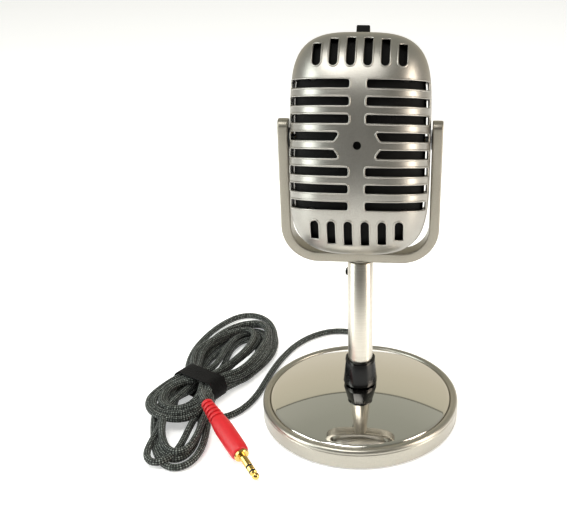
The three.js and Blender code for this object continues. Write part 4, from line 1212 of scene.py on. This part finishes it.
def restore_normals(piece, sign):
    """Give corners that lie on the outer surface the formula's own normal."""
    mesh = piece.data
    normals = [Vector(c.vector) for c in mesh.corner_normals]
    turn = head_place.to_3x3()
    back = head_place.inverted()
    changed = 0
    for face in mesh.polygons:
        for loop in face.loop_indices:
            spot = back @ (mesh.vertices[mesh.loops[loop].vertex_index].co / MM)
            if abs(spot.y) < SEAM + 0.02:
                continue
            near = abs(spot.y - head_y(spot.x, spot.z, sign)) < 0.25
            exact = turn @ head_normal(spot.x, spot.y, spot.z)
            if near and face.normal.dot(exact) > 0.8:
                normals[loop] = exact
                changed += 1
    mesh.normals_split_custom_set(normals)
    return changed


# %% [markdown]
# Each shell is a bowl with its wall, cut by prisms for the slots and by rods for the pivots, the
# sound port and the screws. The rear one also has a window for the switch, which sits behind the
# seam at the top and leans with the surface there.

# %% Front and rear shells
SHELL_SCREWS = {
    "top_left": (-20, 30), "top_right": (20, 30), "bottom_left": (-20, -30), "bottom_right": (20, -30),
}
SCREW_SEAT = 10.3
PORT_RADIUS = 1.75
SCREW_HOLE = 2.4
SWITCH_Y = 7
SWITCH_LEAN = math.radians(26.3)
switch_share = (1 - (SWITCH_Y / HEAD_D) ** EDGE_POWER) ** (1 / CROWN_POWER)
switch_top = Matrix.Translation((0, SWITCH_Y, switch_share * HEAD_B))
switch_place = head_place @ switch_top @ Matrix.Rotation(-SWITCH_LEAN, 4, "X")


def block(width, depth, height, cx=0.0, cy=0.0, cz=0.0, ease=0.0, matrix=None):
    outline = yoke_section(width / 2, depth / 2, ease, 4) if ease else [
        (width / 2, depth / 2), (-width / 2, depth / 2), (-width / 2, -depth / 2), (width / 2, -depth / 2),
    ]
    rows = [[(cx + x, cy + y, cz + z) for x, y in outline] for z in (-height / 2, height / 2)]
    verts, faces = skin(rows, caps=True)
    return (moved(verts, matrix) if matrix else verts), faces


def add_shell(front):
    sign = -1 if front else 1
    name = "front_grille" if front else "rear_grille"
    shell = solid(name, bowl(sign, 0, HEAD_WALL, 144, 40), HEAD_PAINT, "head", 32, head_place)
    reach = (-27, -1.2) if front else (1.2, 27)
    slots = grille_slots(front)
    tools = [prism_along_y(outline, *reach) for outline in slots]
    tools.append(rod_along("X", PIVOT_HOLE, -40, 40, z=HEAD_BELOW))
    if front:
        tools.append(rod_along("Y", PORT_RADIUS, -30, -15))
    else:
        tools += [rod_along("Y", SCREW_HOLE, SCREW_SEAT, 30, x, z) for x, z in SHELL_SCREWS.values()]
    cutters = [laid(tool, head_place) for tool in tools]
    if not front:
        cutters.append(block(6.6, 7.0, 12, cy=1.2, matrix=switch_place))
    cut_away(shell, cutters)
    changed = restore_normals(shell, sign)
    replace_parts(shell, "front_shell" if front else "rear_shell")
    loops = joined(*[lip_loop(outline, sign) for outline in slots])
    lips = solid(name + "_lips", loops, HEAD_PAINT, "head", 80, head_place)
    print(name, "faces", len(shell.data.polygons), "exact normals", changed)
    return shell


add_shell(True)
add_shell(False)

# %% [markdown]
# Behind each shell lies a liner of wire cloth, pressed to the same form a little further in. It
# makes room for the screw posts, the pivots and the switch.

# %% Wire-cloth liners and screw posts
POST_RADIUS, POST_BORE = 3.0, 1.4
LINER_INSET, LINER_THICKNESS = 2.2, 0.6


def add_liner(front):
    sign = -1 if front else 1
    name = "front_cloth" if front else "rear_cloth"
    form = bowl(sign, LINER_INSET, LINER_THICKNESS, 96, 28)
    liner = solid(name, form, WIRE_CLOTH, "head", 60, head_place)
    reach = (-30, 0) if front else (0, 30)
    tools = [rod_along("Y", POST_RADIUS + 0.4, *reach, x, z) for x, z in SHELL_SCREWS.values()]
    tools.append(rod_along("X", 5.0, -40, 40, z=HEAD_BELOW))
    cutters = [laid(tool, head_place) for tool in tools]
    if not front:
        cutters.append(block(10, 17, 14, cy=1.2, cz=-2, matrix=switch_place))
    cut_away(liner, cutters)
    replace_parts(liner, "front_liner" if front else "rear_liner")


def add_posts(front):
    """Screw posts, moulded in one with the shells."""
    sign = -1 if front else 1
    loops = []
    for x, z in SHELL_SCREWS.values():
        angles = [math.pi / 4 * k for k in range(8)]
        rim = [(x + POST_RADIUS * math.cos(a), z + POST_RADIUS * math.sin(a)) for a in angles]
        wall = min(abs(head_y(px, pz, sign, 0.9)) for px, pz in rim)
        end = wall if front else min(wall, SCREW_SEAT - 0.05)
        low, high = sorted((sign * SEAM, sign * end))
        profile = [(POST_BORE, low), (POST_RADIUS, low), (POST_RADIUS, high), (POST_BORE, high)]
        verts, faces = turned(profile, 32)
        loops.append(([(x + px, pz, z + py) for px, py, pz in verts], faces))
    name = "front_posts" if front else "rear_posts"
    posts = solid(name, joined(*loops), HEAD_PAINT, "head", 40, head_place)


for is_front in (True, False):
    add_liner(is_front)
    add_posts(is_front)
print("liners and posts added")

# %% [markdown]
# Small screws give the eye its scale. Each is a turned pan head with a cross recess: the recess is
# two crossing wedges cut out of the head.

# %% Screws
COVER_SCREW_HEAD = 1.35


def screw_mesh(head_radius, head_height, shank_radius, shank_length):
    """A cross-recess screw along Z: the head's underside at 0, its top at head_height."""
    dome = [(head_radius, 0.12), (head_radius, head_height * 0.45)]
    dome += [
        (head_radius * math.cos(a), head_height * (0.45 + 0.55 * math.sin(a)))
        for a in (math.pi / 2 * k / 7 for k in range(1, 7))
    ]
    profile = [(0, -shank_length), (shank_radius * 0.8, -shank_length), (shank_radius, -shank_length + 0.4)]
    profile += [(shank_radius, 0), (head_radius - 0.12, 0), *dome, (0, head_height)]
    return turned(profile, 40, closed=False)


def add_screw(name, node, slot, material, body, matrix, head_radius, head_height, *shank):
    """The shank's radius and length come last."""
    screw = solid(name, screw_mesh(head_radius, head_height, *shank), material, body, 34, matrix)
    arm, deep = head_radius * 0.62, head_height * 0.7
    cutters = [
        block(2 * arm, head_radius * 0.26, 2 * deep, cz=head_height, matrix=matrix),
        block(head_radius * 0.26, 2 * arm, 2 * deep, cz=head_height + 0.011, matrix=matrix),
    ]
    cut_away(screw, cutters)
    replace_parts(screw, node)
    return screw


def facing(position, direction, spin=20):
    turn = Vector((0, 0, 1)).rotation_difference(Vector(direction)).to_matrix().to_4x4()
    return Matrix.Translation(position) @ turn @ Matrix.Rotation(math.radians(spin), 4, "Z")


for word, side in (("left", -1), ("right", 1)):
    seat = facing((side * (YOKE_HALF - 1.5), 0, PIVOT_Z), (side, 0, 0), 15 + 20 * side)
    add_screw(
        f"pivot_bolt_{word}", f"pivot_screw_{word}", "zinc_steel", ZINC_STEEL, "stem", seat,
        3.0, 1.3, 1.5, 10.6,
    )
for spin, (word, (x, z)) in zip((12, 47, 71, 30), SHELL_SCREWS.items()):
    seat = head_place @ facing((x, SCREW_SEAT + 0.3, z), (0, 1, 0), spin)
    add_screw(
        f"grille_screw_{word}", f"shell_screw_{word}", "zinc_steel", ZINC_STEEL, "head", seat,
        2.1, 1.4, 1.1, 17.8,
    )
for index, degrees in enumerate((30, 150, 270)):
    a = math.radians(degrees)
    low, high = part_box(f"cover_screw_{index + 1}")
    foot = (24 * math.cos(a), 24 * math.sin(a), low[2] / MM + COVER_SCREW_HEAD)
    seat = facing(foot, (0, 0, -1), 25 * index)
    shank = (high[2] - low[2]) / MM - COVER_SCREW_HEAD
    add_screw(
        f"cover_bolt_{index + 1}", f"cover_screw_{index + 1}", "zinc_steel", ZINC_STEEL, "base", seat,
        2.7, COVER_SCREW_HEAD, 1.5, shank,
    )
a = math.radians(160)
out = Vector((math.cos(a), math.sin(a), 0))
add_screw(
    "yoke_lock_screw", "yoke_screw", "black_oxide_screw", BLACK_STEEL, "stem",
    facing(out * 6.25 + Vector((0, 0, 77)), out, 10), 2.0, 1.05, 1.15, 3.2,
)
print("screws added")

# %% [markdown]
# The switch is a small black block with a crest that narrows a little and three grooves for grip.

# %% Switch knob
KNOB_PROUD, KNOB_BELOW = 5.4, 3.1


def add_knob():
    height = KNOB_PROUD + KNOB_BELOW
    verts, _ = block(6.0, 4.0, height, cz=KNOB_PROUD - height / 2, ease=0.45)
    half = len(verts) // 2
    crest = [(x * 0.93, y * 0.9, KNOB_PROUD) for x, y, _ in verts[half:]]
    shoulder = [(x, y, KNOB_PROUD - 0.35) for x, y, _ in verts[half:]]
    form = skin([verts[:half], shoulder, crest], caps=True)
    knob = solid("slide_knob", form, GLOSS_ABS, "switch", 30, switch_place)
    grooves = [block(7, 0.35, 0.7, cy=y, cz=KNOB_PROUD, matrix=switch_place) for y in (-1.1, 0, 1.1)]
    cut_away(knob, grooves)
    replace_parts(knob, "switch_knob")
    return knob


print("knob faces", len(add_knob().data.polygons))

# %% [markdown]
# The pieces inside, and the rubber ones, are already shaped well enough by the frame. They keep
# their meshes and only get a finish, by the slot that each one names.

# %% Finishes for the other pieces
SLOT_FINISH = {
    "satin_silver": RING_PAINT, "mirror_chrome": CHROME, "cast_iron": CAST_IRON,
    "black_moulding": TEXTURED_ABS,
    "black_rubber": BLACK_RUBBER, "zinc_steel": ZINC_STEEL, "black_sheath": BLACK_SHEATH, "brass": BRASS,
    "black_oxide_screw": BLACK_STEEL, "black_gloss_moulding": GLOSS_ABS, "capsule_can": TINPLATE,
    "green_board": SOLDER_MASK, "satin_nickel": NICKEL, "yoke_paint": YOKE_PAINT, "head_paint": HEAD_PAINT,
    "black_mesh": WIRE_CLOTH, "grey_braid": BRAID, "hook_tape": HOOK_TAPE, "red_moulding": RED_PVC,
    "gold_contact": GOLD, "black_insulator": NYLON,
}


def keep_frame_pieces():
    replaced = set()
    for piece in bpy.data.objects:
        replaced.update(piece.get("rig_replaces", []))
    kept = []
    for entry in frame["record"]["subparts"]:
        name, slot = entry["node"], entry["material_slot"]
        node = frame["nodes"][name]
        if not node.data.materials:
            node.data.materials.append(None)
        for index in range(len(node.data.materials)):
            node.data.materials[index] = SLOT_FINISH[slot]
        if name not in replaced:
            kept.append(name)
    return kept


print("frame pieces kept", keep_frame_pieces())

# %% [markdown]
# The light is a product tent: two tall softboxes left and right, a small one high in front, a wide
# one overhead that mirrors do not see, and a pale grey room that the mirror dome can show.

# %% Light


def softbox(name, place, aim, width, height, watts, hex_text="#ffffff"):
    data = bpy.data.lights.new(name, "AREA")
    data.shape = "RECTANGLE"
    data.size = width
    data.size_y = height
    data.energy = watts
    data.color = colour(hex_text)[:3]
    lamp = bpy.data.objects.new(name, data)
    lamp.location = place
    lamp.rotation_euler = (Vector(aim) - Vector(place)).to_track_quat("-Z", "Y").to_euler()
    bpy.context.scene.collection.objects.link(lamp)
    return lamp


def room():
    """A pale tent, a little greener overhead, and dim behind the camera."""
    world = bpy.data.worlds.new("room")
    bpy.context.scene.world = world
    world.use_nodes = True
    tree = world.node_tree
    background = tree.nodes["Background"]
    direction = add_node(tree, "ShaderNodeSeparateXYZ", inputs={
        "Vector": add_node(tree, "ShaderNodeTexCoord").outputs["Generated"],
    })
    tint = ramp(tree, direction.outputs["Z"], [
        (0.0, colour("#dcd9d2")), (0.35, colour("#c9c8c0")), (0.62, colour("#d0d0c2")),
        (0.8, colour("#c4c5b6")),
    ])
    tree.links.new(tint, background.inputs["Color"])
    power = add_node(tree, "ShaderNodeMapRange", inputs={
        "Value": direction.outputs["Y"], "From Min": -1.0, "From Max": 0.6, "To Min": 0.15, "To Max": 0.62,
    })
    tree.links.new(power.outputs["Result"], background.inputs["Strength"])


room()
softbox("left_box", (-0.75, -0.3, 0.42), (0, 0, 0.1), 0.45, 0.8, 5.4, "#f4fbf8")
softbox("right_box", (0.8, -0.2, 0.38), (0, 0, 0.11), 0.3, 0.8, 5.2, "#fff3e4")
softbox("front_top", (-0.2, -0.3, 0.9), (0, 0, 0.14), 0.5, 0.4, 3.4, "#fdfcf8")
softbox("ceiling", (0.0, 0.5, 2.2), (0, 0.5, 0), 2.4, 2.4, 25.0).visible_glossy = False

# %% [markdown]
# The floor is matt white paper. A warm card behind the microphone is seen only in reflections, and
# gives the dome's far side its beige.

# %% Floor and cards


def add_plane(name, corners, material):
    mesh = bpy.data.meshes.new(name)
    mesh.from_pydata([Vector(c) for c in corners], [], [(0, 1, 2, 3)])
    mesh.materials.append(material)
    plane = bpy.data.objects.new(name, mesh)
    bpy.context.scene.collection.objects.link(plane)
    return plane


def sweep_paper():
    finish, tree, shader = new_finish("white_sweep_paper", Roughness=0.35)
    shader.inputs["Base Color"].default_value = colour("#f4f4f3")
    shader.inputs["Specular IOR Level"].default_value = 0.25
    shader.inputs["Emission Color"].default_value = colour("#ffffff")
    shader.inputs["Emission Strength"].default_value = 0.44
    fibres = grain(tree, 0.8, 3.0)
    bump(tree, shader, fibres, 0.004, 0.1)
    return finish


floor = add_plane("floor", [(-6, -3, 0), (6, -3, 0), (6, 9, 0), (-6, 9, 0)], sweep_paper())


def reflection_card():
    """A warm wall behind the microphone that only mirrors see: pale in the middle, with dark edges."""
    finish, tree, shader = new_finish("beige_reflection_card", Roughness=1.0)
    shader.inputs["Base Color"].default_value = colour("#000000")
    height = add_node(tree, "ShaderNodeSeparateXYZ", inputs={"Vector": object_place(tree)}).outputs["Z"]
    tint = ramp(tree, height, [
        (0.0, colour("#1d1c18")), (0.02, colour("#d6cfbd")), (0.45, colour("#c8c1ad")),
        (0.86, colour("#bdb8a4")), (0.88, colour("#6f6e62")), (0.9, colour("#66665b")),
    ])
    tree.links.new(tint, shader.inputs["Emission Color"])
    shader.inputs["Emission Strength"].default_value = 1.0
    card = add_plane("card", [(-1.5, 1.0, 0.01), (1.5, 1.0, 0.01), (1.5, 1.0, 0.9), (-1.5, 1.0, 0.9)], finish)
    card.visible_camera = False
    card.visible_diffuse = False
    card.visible_shadow = False
    return card


reflection_card()
print("floor and card staged")
